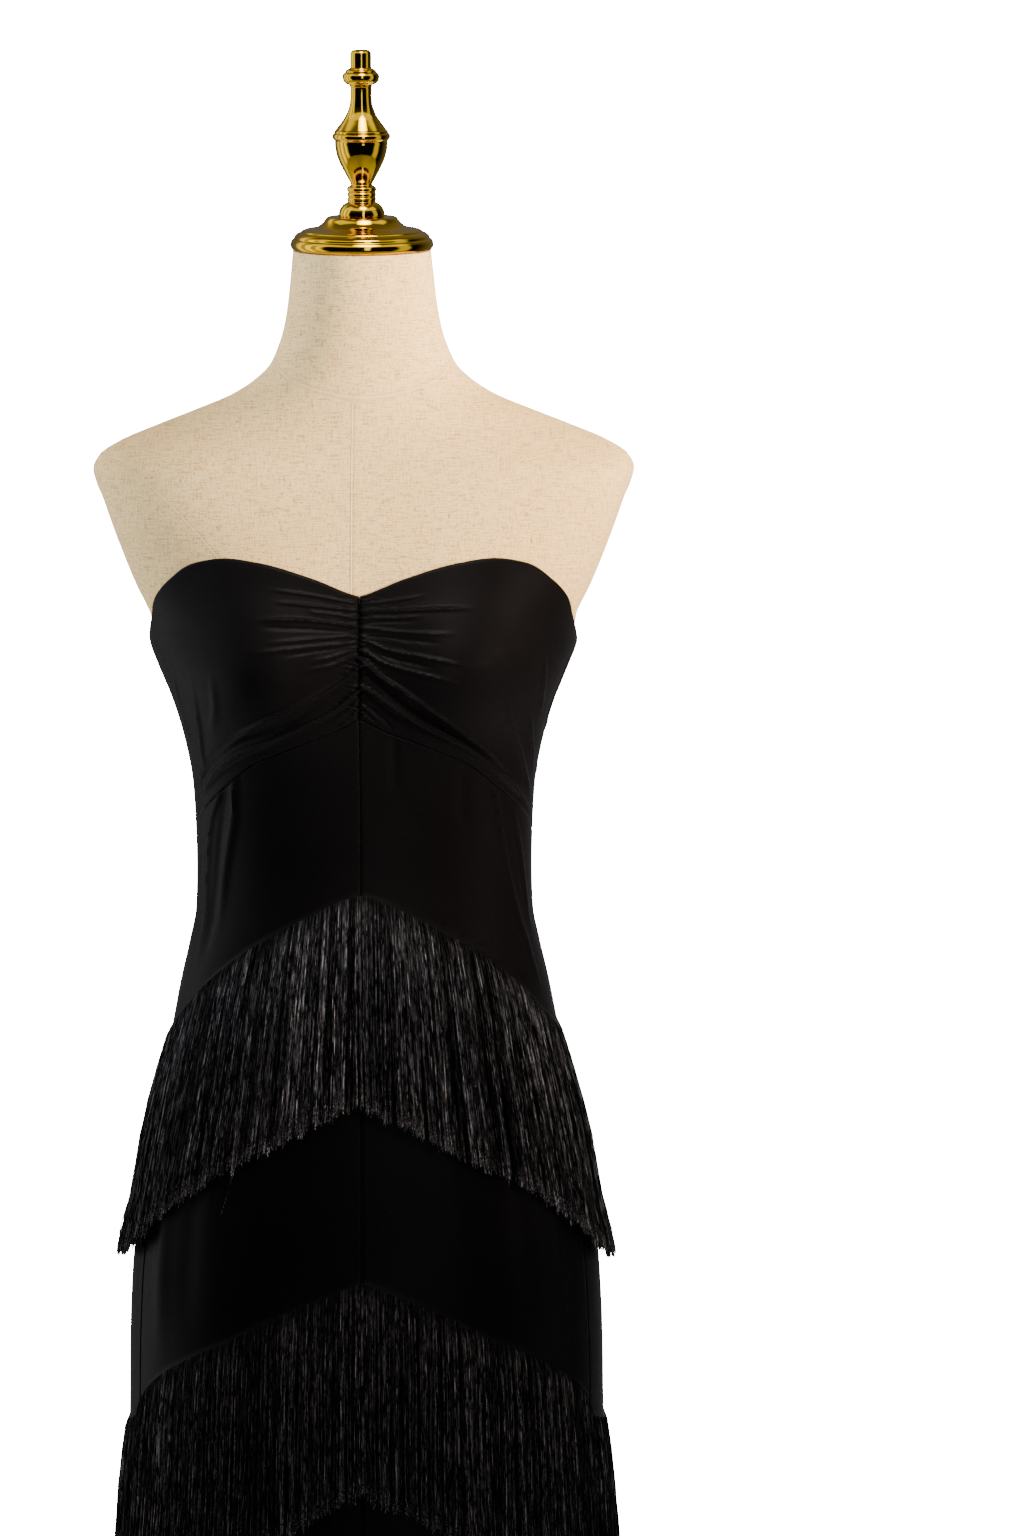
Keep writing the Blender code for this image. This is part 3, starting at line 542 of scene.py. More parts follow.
def crease_rise(turn, height, creases):
    """How far soft ridges and troughs raise or lower the cloth."""
    cloth = figure(turn, height)
    rise = np.zeros(cloth.shape[:-1])
    for width, depth, start, stations in creases:
        last = len(stations) - 1
        table = [(index / last, *station) for index, station in enumerate(stations)]
        along = np.linspace(0, 1, CREASE_STEPS)
        path = smooth_rows(table, along)
        line = figure(path[:, 0], path[:, 1])
        nearest = np.full(rise.shape, np.inf)
        share = np.zeros(rise.shape)
        for index in range(CREASE_STEPS - 1):
            first, step = line[index], line[index + 1] - line[index]
            t = np.clip((cloth - first) @ step / (step @ step), 0, 1)
            apart = np.linalg.norm(cloth - first - t[..., None] * step, axis=-1)
            closer = apart < nearest
            nearest = np.where(closer, apart, nearest)
            share = np.where(closer, (index + t) / (CREASE_STEPS - 1), share)
        head = start + (1 - start) * ease(0.0, CREASE_WHOLE[0], share)
        tail = ease_down(CREASE_WHOLE[1], 1.0, share)
        spread = width * (CREASE_START_WIDTH + CREASE_WIDENING * share)
        rise = rise + depth * head * tail * hump(nearest, 0.0, spread)
    return rise


# Meshes.


def add_piece(name, points, faces, finish, nodes, notes=None):
    """A smooth piece that rides on the body and replaces its nodes.

    Its notes are named vectors, one for each point, that its finish reads.
    """
    mesh = bpy.data.meshes.new(name)
    mesh.from_pydata(np.asarray(points).reshape(-1, 3).tolist(), [], faces)
    mesh.materials.append(finish)
    for note, values in (notes or {}).items():
        layer = mesh.attributes.new(note, "FLOAT_VECTOR", "POINT")
        layer.data.foreach_set("vector", np.asarray(values, dtype=np.float32).ravel())
    mesh.shade_smooth()
    mesh.set_sharp_from_angle(angle=SHARP_ANGLE)
    piece = bpy.data.objects.new(name, mesh)
    bpy.context.scene.collection.objects.link(piece)
    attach(piece, BODY)
    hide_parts(*nodes)
    return piece


def grid_faces(rows, columns, start=0, flipped=False, closed=False):
    """Quads of a grid of points, counted row by row."""
    r, c = np.meshgrid(np.arange(rows - 1), np.arange(columns if closed else columns - 1),
                       indexing="ij")
    here = start + r * columns + c
    beside = start + r * columns + (c + 1) % columns
    quads = np.stack((here, beside, beside + columns, here + columns), axis=-1).reshape(-1, 4)
    if flipped:
        quads = quads[:, ::-1]
    return quads.tolist()


def edge_loop(rows, columns):
    """The points of a grid's edge, in order around it."""
    grid = np.arange(rows * columns).reshape(rows, columns)
    return np.concatenate((grid[0, :-1], grid[:-1, -1], grid[-1, :0:-1], grid[:0:-1, 0]))


def cloth_places(points):
    """How far each point of a grid lies around and up the cloth, for its weave."""
    around = np.linalg.norm(np.diff(points, axis=1), axis=-1)
    around = np.concatenate((np.zeros((len(points), 1)), np.cumsum(around, axis=1)), axis=1)
    around -= around[:, around.shape[1] // 2][:, None]
    up = np.linalg.norm(np.diff(points, axis=0), axis=-1)
    up = np.concatenate((np.zeros((1, points.shape[1])), np.cumsum(up, axis=0)), axis=0)
    return np.stack((around, up, np.zeros_like(up)), axis=-1)


def add_cloth(name, turn, height, out, node, finish):
    """A thin closed sheet of cloth over a grid, with a rounded edge all round."""
    outer = figure(turn, height, out)
    inner = figure(turn, height, out - CLOTH_THICKNESS)
    rows, columns = turn.shape
    count = rows * columns
    rim = edge_loop(rows, columns)
    flat_outer = outer.reshape(-1, 3)
    flat_inner = inner.reshape(-1, 3)
    inwards = np.roll(flat_outer[rim], 1, axis=0) - np.roll(flat_outer[rim], -1, axis=0)
    through = flat_outer[rim] - flat_inner[rim]
    outwards = np.cross(through, inwards)
    outwards /= np.linalg.norm(outwards, axis=1)[:, None] + TINY
    middle = (flat_outer[rim] + flat_inner[rim]) / 2 + outwards * EDGE_ROUND
    points = np.concatenate((flat_outer, flat_inner, middle))
    faces = grid_faces(rows, columns) + grid_faces(rows, columns, count, flipped=True)
    around = len(rim)
    for index in range(around):
        after = (index + 1) % around
        here, there = int(rim[index]), int(rim[after])
        mid_here, mid_there = 2 * count + index, 2 * count + after
        faces.append((there, here, mid_here, mid_there))
        faces.append((mid_there, mid_here, here + count, there + count))
    places = cloth_places(outer).reshape(-1, 3)
    notes = {"cloth": np.concatenate((places, places, places[rim]))}
    piece = add_piece(name, points, faces, finish, [node], notes)


def eased_shares(count):
    """Shares from 0 to 1, closer together towards both ends."""
    near_edge = np.array(EDGE_SHARES[:-1])
    edge = EDGE_SHARES[-1]
    even = np.linspace(0, 1, count - 2 * len(EDGE_SHARES))
    inner = even - 0.5 * np.sin(math.tau * even) / math.tau
    inner = edge + (1 - 2 * edge) * inner
    return np.concatenate(([0.0], near_edge, inner, 1 - near_edge[::-1], [1.0]))


def edge_turn(edge, height):
    """The turn of a panel's side edge at a height."""
    start, swing, meeting = edge
    return start + swing * side_seam(height) + meeting * MEETING_TURN


def panel_grid(rows, columns, lower, upper, first_edge, last_edge):
    """A panel between two seams and two side edges, as a grid of points.

    It gives each point's turn and height, and how far it is below the upper seam and above
    the lower one.
    """
    across = eased_shares(columns)[None, :]
    up = eased_shares(rows)[:, None]
    height = np.full((rows, columns), float(upper(0.0)))
    for _ in range(GRID_ROUNDS):
        turn = edge_turn(first_edge, height) * (1 - across) + edge_turn(last_edge, height) * across
        bottom = lower(turn) + MEETING
        top = upper(turn) - MEETING
        height = bottom + (top - bottom) * up
    return turn, height, top - height, height - bottom


# The side edges of the panels, as two edges each. Columns: turn that the edge starts from,
# how often the side seam's turn is added, and the meeting gap.
EDGES = {
    "front_left": ((0.0, 0, 1), (0.0, 1, -1)),
    "front_right": ((0.0, -1, 1), (0.0, 0, -1)),
    "back": ((0.0, 1, 1), (FULL_TURN, -1, -1)),
}

# The panels, tier by tier. Columns: tier, seam below, seam above, creases, whether its upper
# edge is tucked behind a fringe, whether its lower edge laps over one, and whether it is
# stretched over the form.
TIERS = (
    ("bodice", empire_seam, neckline, RIGHT_GATHERS + LEFT_GATHERS + SIDE_DRAGS + BACK_PULLS,
     False, False, True),
    ("midriff", upper_chevron, empire_seam, MIDRIFF_FOLDS, False, True, True),
    ("skirt_upper", lower_chevron, upper_chevron, UPPER_SKIRT_FOLDS, True, True, True),
    ("skirt_lower", hem, lower_chevron, LOWER_SKIRT_FOLDS, True, False, False),
)
# Points of each panel's grid. Columns: rows, columns.
PANEL_POINTS = {
    "bodice_front": (176, 110), "bodice_back": (44, 76),
    "midriff_front": (56, 84), "midriff_back": (44, 76),
    "skirt_upper_front": (60, 50), "skirt_upper_back": (54, 76),
    "skirt_lower_front": (84, 52), "skirt_lower_back": (84, 84),
}


def gathered_centre(turn, height):
    """Puckers and a valley where the fronts are gathered into the centre seam."""
    from_seam = np.abs(figure(turn, height)[..., 0])
    slope = np.sign(PUCKER_LEVEL - height) * PUCKER_SLOPE
    slant = height + np.sign(turn) * PUCKER_STAGGER - from_seam * slope
    rise = 0.0
    for index, (wave, amount) in enumerate(PUCKERS):
        # Phases that suit no pattern, so that no two puckers match across the seam.
        phase = index * 1.9 + np.where(turn > 0, 0.8, 0.0)
        phase = phase + PUCKER_SHIFT * np.sin(height * PUCKER_SHIFT_PACE + index)
        rise = rise + amount * np.sin(math.tau * slant / wave + phase)
    rise = rise * np.exp(-from_seam / PUCKER_REACH)
    return rise - CENTRE_VALLEY * hump(from_seam, 0.0, CENTRE_VALLEY_WIDTH)


def seam_roll(distance):
    """How far the cloth rolls in at a distance from an edge."""
    return SEAM_ROLL * hump(distance, 0.0, SEAM_ROLL_WIDTH)


def make_panel(tier, part, jersey):
    """One panel of the dress, from its tier and its place in the round."""
    name, lower, upper, creases, tucked, lapping, fitted = tier
    first_edge, last_edge = EDGES[part]
    node = f"{name}_{part}"
    kind = f"{name}_{part.split('_')[0]}"
    turn, height, below_top, above_bottom = panel_grid(
        *PANEL_POINTS[kind], lower, upper, first_edge, last_edge)
    out = hang_fold(turn, height) + crease_rise(turn, height, creases)
    if tucked:
        out = out - TUCK * ease_down(0.0, TUCK_HEIGHT, below_top)
    else:
        out = out - seam_roll(below_top)
    if lapping:
        lip = ease_down(0.0, LIP_HEIGHT, above_bottom)
        out = out + LIP_RISE * lip
        height = height - LIP_OVERLAP * lip
    else:
        out = out - seam_roll(above_bottom)
    degree = np.linalg.norm(figure(turn + 1, height) - figure(turn, height), axis=-1)
    from_side = np.minimum(turn - edge_turn(first_edge, height),
                           edge_turn(last_edge, height) - turn)
    out = out - seam_roll(from_side * degree)
    if kind == "bodice_front":
        out = out + gathered_centre(turn, height)
    add_cloth(node + "_cloth", turn, height, out, node, jersey)


# Fringe.

SEAM_STEPS = 2000
# A turn that is small enough to give the direction beside a thread.
SMALL_TURN = 0.5


def seam_turns(seam, first_turn, last_turn):
    """Turns along a seam, and its level length up to each of them."""
    turn = np.linspace(first_turn, last_turn, SEAM_STEPS)
    points = figure(turn, seam(turn))[:, :2]
    length = np.concatenate(([0], np.cumsum(np.linalg.norm(np.diff(points, axis=0), axis=1))))
    return turn, length


def thread_locks(chance, place, span):
    """The lock that each thread belongs to, the middle of it, and how many locks there are."""
    ends = np.cumsum(chance.uniform(*LOCK_WIDTHS, int(span / LOCK_SPACING)))
    ends = np.append(ends[ends < span], span)
    lock = np.minimum(np.searchsorted(ends, place), len(ends) - 1)
    middle = (np.concatenate(([0], ends[:-1])) + ends) / 2
    return lock, middle[lock], len(ends)


def thread_points(turn, height, out, radius, twist):
    """The corners of three-sided threads."""
    centre = figure(turn, height, out)
    beside = figure(turn + SMALL_TURN, height, out) - centre
    beside /= np.linalg.norm(beside, axis=-1)[..., None]
    away = np.stack((beside[..., 1], -beside[..., 0], np.zeros_like(beside[..., 0])), axis=-1)
    corners = []
    for corner in range(3):
        angle = (twist + math.tau * corner / 3)[..., None]
        corners.append(centre + radius[..., None] * (
            np.cos(angle) * beside + np.sin(angle) * away))
    return np.stack(corners, axis=2).reshape(-1, 3)


def thread_faces(threads, levels):
    """The faces of three-sided threads, closed at both ends."""
    ring = np.arange(threads * levels).reshape(threads, levels) * 3
    here, below = ring[:, :-1].ravel(), ring[:, 1:].ravel()
    quads = [np.stack((here + a, below + a, below + b, here + b), axis=-1)
             for a, b in ((0, 1), (1, 2), (2, 0))]
    first, last = ring[:, 0], ring[:, -1]
    faces = np.concatenate(quads).tolist()
    faces += np.stack((first, first + 1, first + 2), axis=-1).tolist()
    faces += np.stack((last + 2, last + 1, last), axis=-1).tolist()
    return faces


def sewn_strip(seam, first_turn, last_turn, start):
    """The strip that the threads are sewn into, behind the lapping edge."""
    turn = np.linspace(first_turn, last_turn, STRIP_POINTS)
    corners = [figure(turn, seam(turn) - GAP - drop, off - TUCK) for drop, off in STRIP_CORNERS]
    points = np.stack(corners, axis=1).reshape(-1, 3)
    faces = grid_faces(STRIP_POINTS, len(corners), start, flipped=True, closed=True)
    faces.append((start + 3, start + 2, start + 1, start))
    end = start + len(points) - 4
    faces.append((end, end + 1, end + 2, end + 3))
    return points, faces


def make_fringe(name, node, seam, first_turn, last_turn, density, yarn, seed, strays):
    """Threads that hang close together from a narrow strip under a seam."""
    chance = np.random.default_rng(seed)
    turn_at, length_at = seam_turns(seam, first_turn, last_turn)
    span = length_at[-1]
    threads = int(span * density)
    place = np.sort(chance.uniform(0, span, threads))
    root_turn = np.interp(place, length_at, turn_at)

    lock, lock_middle, locks = thread_locks(chance, place, span)
    lean = chance.normal(0, LOCK_LEAN, locks)[lock]
    pull = chance.uniform(0.0, LOCK_PULL, locks)[lock]
    lock_depth = chance.uniform(0.0, 1.0, locks)[lock]
    lock_length = chance.normal(0, LOCK_LENGTH, locks)[lock]
    tone = chance.normal(*THREAD_TONE, threads) + chance.normal(0, LOCK_TONE, locks)[lock]
    tone = np.clip(tone, 0, 1)
    depth = (1 - LOCK_DEPTH) * chance.uniform(0, 1, threads) + LOCK_DEPTH * lock_depth

    ragged = chance.normal(0, RAGGED, threads) - chance.exponential(TRIMMED_OFF, threads)
    wave = sum(rise * np.sin(place * pace + (index + 1) * seed)
               for index, (rise, pace) in enumerate(TRIM_WAVES))
    trimmed = smooth_rows(FRINGE_LENGTHS, fold_turn(root_turn))[..., 0]
    length = trimmed + ragged + lock_length + wave
    short = chance.uniform(0, 1, threads) < SHORT_THREADS
    length = np.where(short, length * chance.uniform(*SHORT_LENGTHS, threads), length)
    drift = np.zeros(threads)
    for stray_turn, stray_length, stray_drift in strays:
        stray = np.argmin(np.abs(root_turn - stray_turn))
        length[stray] = stray_length
        drift[stray] = stray_drift

    # Sideways: the lock's lean and pull, the thread's own slow waves, and a loose end.
    share, nearest, furthest = np.array(THREAD_SECTIONS).T
    loose = ease(LOOSE_START, 1.0, share)
    sideways = lean[:, None] * share ** 1.5 + drift[:, None] * share ** 4
    pulled = ((lock_middle - place) * pull)[:, None]
    sideways = sideways + pulled * ease(0.0, LOCK_PULL_END, share)
    phase = chance.uniform(0, math.tau, (threads, 2))
    for index, (size, pace, whole) in enumerate(THREAD_WAVES):
        swing = np.sin(phase[:, index:index + 1] + pace * share)
        sideways = sideways + size * swing * ease(0.0, whole, share)
    sideways = sideways + chance.normal(0, LOOSE_SIDEWAYS, (threads, 1)) * loose
    beside = np.clip(place[:, None] + sideways, GAP, span - GAP)
    turn = np.interp(beside, length_at, turn_at)
    height = (seam(root_turn) - GAP)[:, None] - length[:, None] * share

    # Outwards: the lock's depth, a wave, a loose end, the flick and the skirt's own folds.
    out = nearest + (furthest - nearest) * depth[:, None]
    size, pace = DEPTH_WAVE
    out = out + size * np.sin(phase[:, :1] * 2 + pace * share) * ease(0.05, 0.3, share)
    out = out + chance.uniform(*LOOSE_OUTWARDS, (threads, 1)) * loose
    at_side = ease(FLICK_START, SIDE_TURN, fold_turn(turn))
    out = out + FLICK * ease(FLICK_FROM, 1.0, share) * at_side + hang_fold(turn, height)

    at_end = share > CUT_END_START
    radius = THREAD_RADIUS * chance.uniform(*THREAD_RADII, threads)[:, None]
    radius = radius * np.where(at_end, CUT_END_RADIUS, 1.0)
    twist = chance.uniform(0, math.tau, threads)[:, None]
    twist = twist + share * chance.uniform(*THREAD_TWISTS, threads)[:, None]
    points = thread_points(turn, height, out, radius, twist)
    note = np.stack((tone[:, None] + CUT_END_TONE * at_end, length[:, None] * share,
                     np.broadcast_to(phase[:, :1], turn.shape)), axis=-1)
    note = np.repeat(note.reshape(-1, 3), 3, axis=0)

    strip, strip_faces = sewn_strip(seam, first_turn, last_turn, len(points))
    strip_note = np.tile((STRIP_TONE, 0.0, 0.0), (len(strip), 1))
    add_piece(name, np.concatenate((points, strip)),
              thread_faces(threads, len(share)) + strip_faces, yarn, [node],
              {"thread": np.concatenate((note, strip_note))})


# Form and fittings.


def make_form(linen):
    """The linen torso and neck, down to its rounded lower edge."""
    turn = np.linspace(-180, 180, FORM_COLUMNS + 1)[:-1]
    heights = []
    low = FORM_BOTTOM[-1][0]
    for high, rows in FORM_BANDS:
        heights.extend(np.linspace(low, high, rows)[1:])
        low = high
    rings = [figure(turn, height, -inset, form=True) for height, inset in FORM_BOTTOM]
    rings += [figure(turn, height, form=True) for height in heights]
    points = np.stack(rings)
    rows, columns = points.shape[:2]
    faces = grid_faces(rows, columns, closed=True)
    faces.append(tuple(range(columns))[::-1])
    faces.append(tuple(range((rows - 1) * columns, rows * columns)))
    add_piece("form_linen_cover", points, faces, linen, ["form_torso"])


def smooth_run(run):
    """Points on a smooth curve through a run's stations."""
    stations = np.asarray(run, dtype=float)
    if len(stations) < 3:
        return stations
    first = 2 * stations[0] - stations[1]
    last = 2 * stations[-1] - stations[-2]
    padded = np.vstack((first, stations, last))
    points = [stations[0]]
    for index in range(1, len(padded) - 2):
        a, b, c, d = padded[index - 1:index + 3]
        for step in range(1, RUN_STEPS + 1):
            t = step / RUN_STEPS
            points.append(0.5 * (2 * b + (c - a) * t + (2 * a - 5 * b + 4 * c - d) * t ** 2
                                 + (3 * b - a - 3 * c + d) * t ** 3))
    return np.array(points)


def turned(name, runs, sides, finish, node, place=(0.0, 0.0, 0.0), tilt=0.0):
    """A turned piece from the runs of its profile."""
    profile = [smooth_run(runs[0])]
    for before, run in zip(runs, runs[1:]):
        profile.append(smooth_run((before[-1], *run))[1:])
    profile = np.concatenate(profile)
    angle = np.arange(sides) * math.tau / sides
    rings = np.stack((profile[:, 1:] * np.cos(angle), profile[:, 1:] * np.sin(angle),
                      np.broadcast_to(profile[:, :1], (len(profile), sides))), axis=-1)
    lean = np.array(Matrix.Rotation(tilt, 3, "X"))
    points = rings @ lean.T + np.array(place)
    rows = len(profile)
    faces = grid_faces(rows, sides, closed=True)
    faces.append(tuple(range(sides))[::-1])
    faces.append(tuple(range((rows - 1) * sides, rows * sides)))
    add_piece(name, points, faces, finish, [node])


def make_fittings(gold, stand_gold):
    neck_centre = float(smooth_rows(FIGURE, NECK_TOP)[1])

    def above_neck(distance):
        return (0.0, neck_centre - distance * math.sin(NECK_LEAN),
                NECK_TOP + distance * math.cos(NECK_LEAN))

    turned("gold_neck_cap", CAP_RUNS, CAP_SIDES, gold, "neck_cap",
           above_neck(GAP), NECK_LEAN)
    turned("gold_finial", FINIAL_RUNS, FINIAL_SIDES, gold, "finial",
           above_neck(GAP + CAP_HEIGHT + GAP), NECK_LEAN)
    base_top = BASE_RUNS[-1][-1][0]
    turned("gold_base", BASE_RUNS, BASE_SIDES, stand_gold, "stand_base")
    pole = (((base_top + GAP, POLE_RADIUS), (POLE_TOP - GAP, POLE_RADIUS)),)
    turned("gold_pole", pole, POLE_SIDES, stand_gold, "stand_pole")


# Finishes.


WALE_PITCH = 0.0008
TWIST_PITCH = 0.0030
# The fine gathers of the bodice run level at this height and fan out above and below it.
FAN_HEIGHT = 1.264
FAN_OPENING = 18
FAN_SLOPES = (-0.8, 0.3)
# Colours that a finish wanders between.
JERSEY_TONES = ((0.0026, 0.0021, 0.0022, 1), (0.0033, 0.0027, 0.0028, 1))
# The yarn's black, and the grey of the painted highlight on its glints.
YARN_AND_PAINTED_GLINT_TONES = ((0.0003, 0.0003, 0.0004, 1), (0.390, 0.380, 0.412, 1))
LINEN_TONES = ((0.715, 0.462, 0.186, 1), (0.760, 0.506, 0.220, 1))
GOLD_TONES = ((0.94, 0.54, 0.002, 1), (0.98, 0.61, 0.004, 1))
FLOOR_TONES = ((0.90, 0.90, 0.90, 1), (0.93, 0.93, 0.93, 1))
# The linen between its yarns and on its slubs, in the groove beside a seam as a painted shadow,
# and on the seam's ridge as a painted highlight.
WEAVE_SHADE = (0.400, 0.225, 0.085, 1)
SLUB_SHADE = (0.200, 0.095, 0.032, 1)
GROOVE_PAINTED_SHADOW = (0.450, 0.190, 0.085, 1)
SEAM_PAINTED_HIGHLIGHT = (0.900, 0.690, 0.400, 1)
JERSEY_SHEEN = (0.82, 0.78, 0.90, 1)


class Value:
    """A node's output, with Python's operators as Math nodes."""

    def __init__(self, nodes, socket):
        self.nodes = nodes
        self.socket = socket

    def math(self, operation, *others):
        return self.nodes.node("ShaderNodeMath", {"operation": operation}, (self, *others))

    def reflected(self, operation, other):
        return self.nodes.node("ShaderNodeMath", {"operation": operation}, (other, self))

    def __add__(self, other):
        return self.math("ADD", other)

    def __sub__(self, other):
        return self.math("SUBTRACT", other)

    def __mul__(self, other):
        return self.math("MULTIPLY", other)

    def __radd__(self, other):
        return self.reflected("ADD", other)

    def __rsub__(self, other):
        return self.reflected("SUBTRACT", other)

    def __rmul__(self, other):
        return self.reflected("MULTIPLY", other)

    def __abs__(self):
        return self.math("ABSOLUTE")

    def ease(self, low, high):
        """0 below low, 1 above high, and a smooth rise between them."""
        return self.nodes.node("ShaderNodeMapRange", {"interpolation_type": "SMOOTHSTEP"},
                               {"Value": self, "From Min": low, "From Max": high})

    def band(self, rise, fall):
        """1 between two soft edges, each given by where it starts and ends."""
        return self.ease(*rise) * (1 - self.ease(*fall))


class Nodes:
    """A node tree that is built from expressions."""

    def __init__(self, tree):
        self.tree = tree

    def node(self, kind, settings=None, values=(), output=0):
        """A node of a kind: its settings, then its sockets' values or links."""
        made = self.tree.nodes.new(kind)
        for setting, value in (settings or {}).items():
            setattr(made, setting, value)
        pairs = values.items() if isinstance(values, dict) else enumerate(values)
        for key, value in pairs:
            self.feed(made.inputs[key], value)
        return None if output is None else Value(self, made.outputs[output])

    def feed(self, socket, value):
        if isinstance(value, Value):
            self.tree.links.new(value.socket, socket)
        else:
            socket.default_value = value

    def split(self, place):
        made = self.tree.nodes.new("ShaderNodeSeparateXYZ")
        self.feed(made.inputs[0], place)
        return [Value(self, output) for output in made.outputs]


class Finish(Nodes):
    """A material with one shader, and the nodes that feed it."""

    def __init__(self, name):
        self.material = bpy.data.materials.new(name)
        self.material.use_nodes = True
        super().__init__(self.material.node_tree)
        self.shader = self.tree.nodes["Principled BSDF"]

    def set(self, **values):
        """Sets or links the shader's sockets, named with _ for a space."""
        for key, value in values.items():
            self.feed(self.shader.inputs[key.replace("_", " ")], value)

    def noise(self, place, scale, detail=2.0, roughness=0.5):
        """Soft noise: its scale, or the scale that its place is stretched by, is a metre's."""
        return self.node("ShaderNodeTexNoise", {}, {
            "Vector": place, "Scale": scale, "Detail": detail, "Roughness": roughness})

    def object_place(self):
        return self.node("ShaderNodeTexCoord", output="Object")

    def note(self, name):
        return self.node("ShaderNodeAttribute", {"attribute_name": name}, output="Vector")

    def stretched(self, place, scale):
        return self.node("ShaderNodeVectorMath", {"operation": "MULTIPLY"}, (place, scale))

    def dot(self, place, direction):
        return self.node("ShaderNodeVectorMath", {"operation": "DOT_PRODUCT"},
                         (place, direction), output="Value")

    def blend(self, factor, first, second):
        """A colour between two colours."""
        made = self.tree.nodes.new("ShaderNodeMix")
        made.data_type = "RGBA"
        self.feed(made.inputs["Factor"], factor)
        self.feed(made.inputs[6], first)
        self.feed(made.inputs[7], second)
        return Value(self, made.outputs[2])

    def bump(self, height, distance, strength=1.0):
        return self.node("ShaderNodeBump", {}, {
            "Height": height, "Distance": distance, "Strength": strength}, output="Normal")


def jersey_finish():
    """Black satin-faced jersey: a soft sheen over fine wales.

    The grain's scales are marks a metre, around and up the cloth.
    """
    finish = Finish("black_satin_jersey")
    cloth = finish.note("cloth")
    around, _, _ = finish.split(cloth)
    place = finish.object_place()
    x, y, z = finish.split(place)
    wales = (around * (math.tau / WALE_PITCH)).math("SINE")
    grain = finish.noise(finish.stretched(cloth, (1500, 900, 1)), 1.0, 2.0)
    broad = finish.noise(place, 9.0, 2.0)

    # Fine gathers, which fan out from the centre seam of the bodice.
    least, most = FAN_SLOPES
    slope = ((z - FAN_HEIGHT) * FAN_OPENING).math("MINIMUM", most).math("MAXIMUM", least)
    fan = finish.node("ShaderNodeCombineXYZ", {}, (x * 9, 0.0, (z - abs(x) * slope) * 430))
    gathers = finish.noise(fan, 1.0, 2.0, 0.6)
    gathered = (1 - abs(x).ease(0.015, 0.080)) * (0 - y).ease(0.02, 0.05)
    gathered = gathered * z.band((1.225, 1.250), (1.272, 1.296))
    finish.set(
        Base_Color=finish.blend(broad.ease(0.35, 0.7), *JERSEY_TONES),
        Roughness=0.33 + 0.05 * broad + 0.06 * grain,
        Normal=finish.bump((wales * 0.3 + grain) * 0.03 + gathers * gathered, 0.0011, 0.9),
        Specular_IOR_Level=0.07, Sheen_Weight=0.03, Sheen_Roughness=0.35,
        Sheen_Tint=JERSEY_SHEEN)
    return finish.material


def yarn_finish():
    """Glossy black twisted yarn. It glints for real where its twist turns to the light, and
    lighter flecks are painted into its colour as well, a painted highlight.
    """
    finish = Finish("black_twisted_yarn")
    thread = finish.note("thread")
    tone, along, phase = finish.split(thread)
    twist = (along * (math.tau / TWIST_PITCH) + phase).math("SINE")
    glint = finish.noise(finish.stretched(thread, (34, 90, 40)), 1.0, 3.0, 0.6)
    # Painted shadow: the threads are darker near the seam, as if shaded by the lapping edge above
    # them.
    clear_of_painted_shade = 0.25 + 0.75 * along.ease(0.0, 0.016)
    # Painted highlight: lighter flecks of glint in the yarn's colour, strongest on threads of
    # bright tone.
    painted_glint = glint.ease(0.38, 0.70) * tone * tone * tone * clear_of_painted_shade
    finish.set(
        Base_Color=finish.blend(painted_glint, *YARN_AND_PAINTED_GLINT_TONES),
        Roughness=0.50 - 0.15 * painted_glint,
        Normal=finish.bump(twist * 0.5 + glint, 0.00020, 0.8),
        Specular_IOR_Level=0.07)
    return finish.material


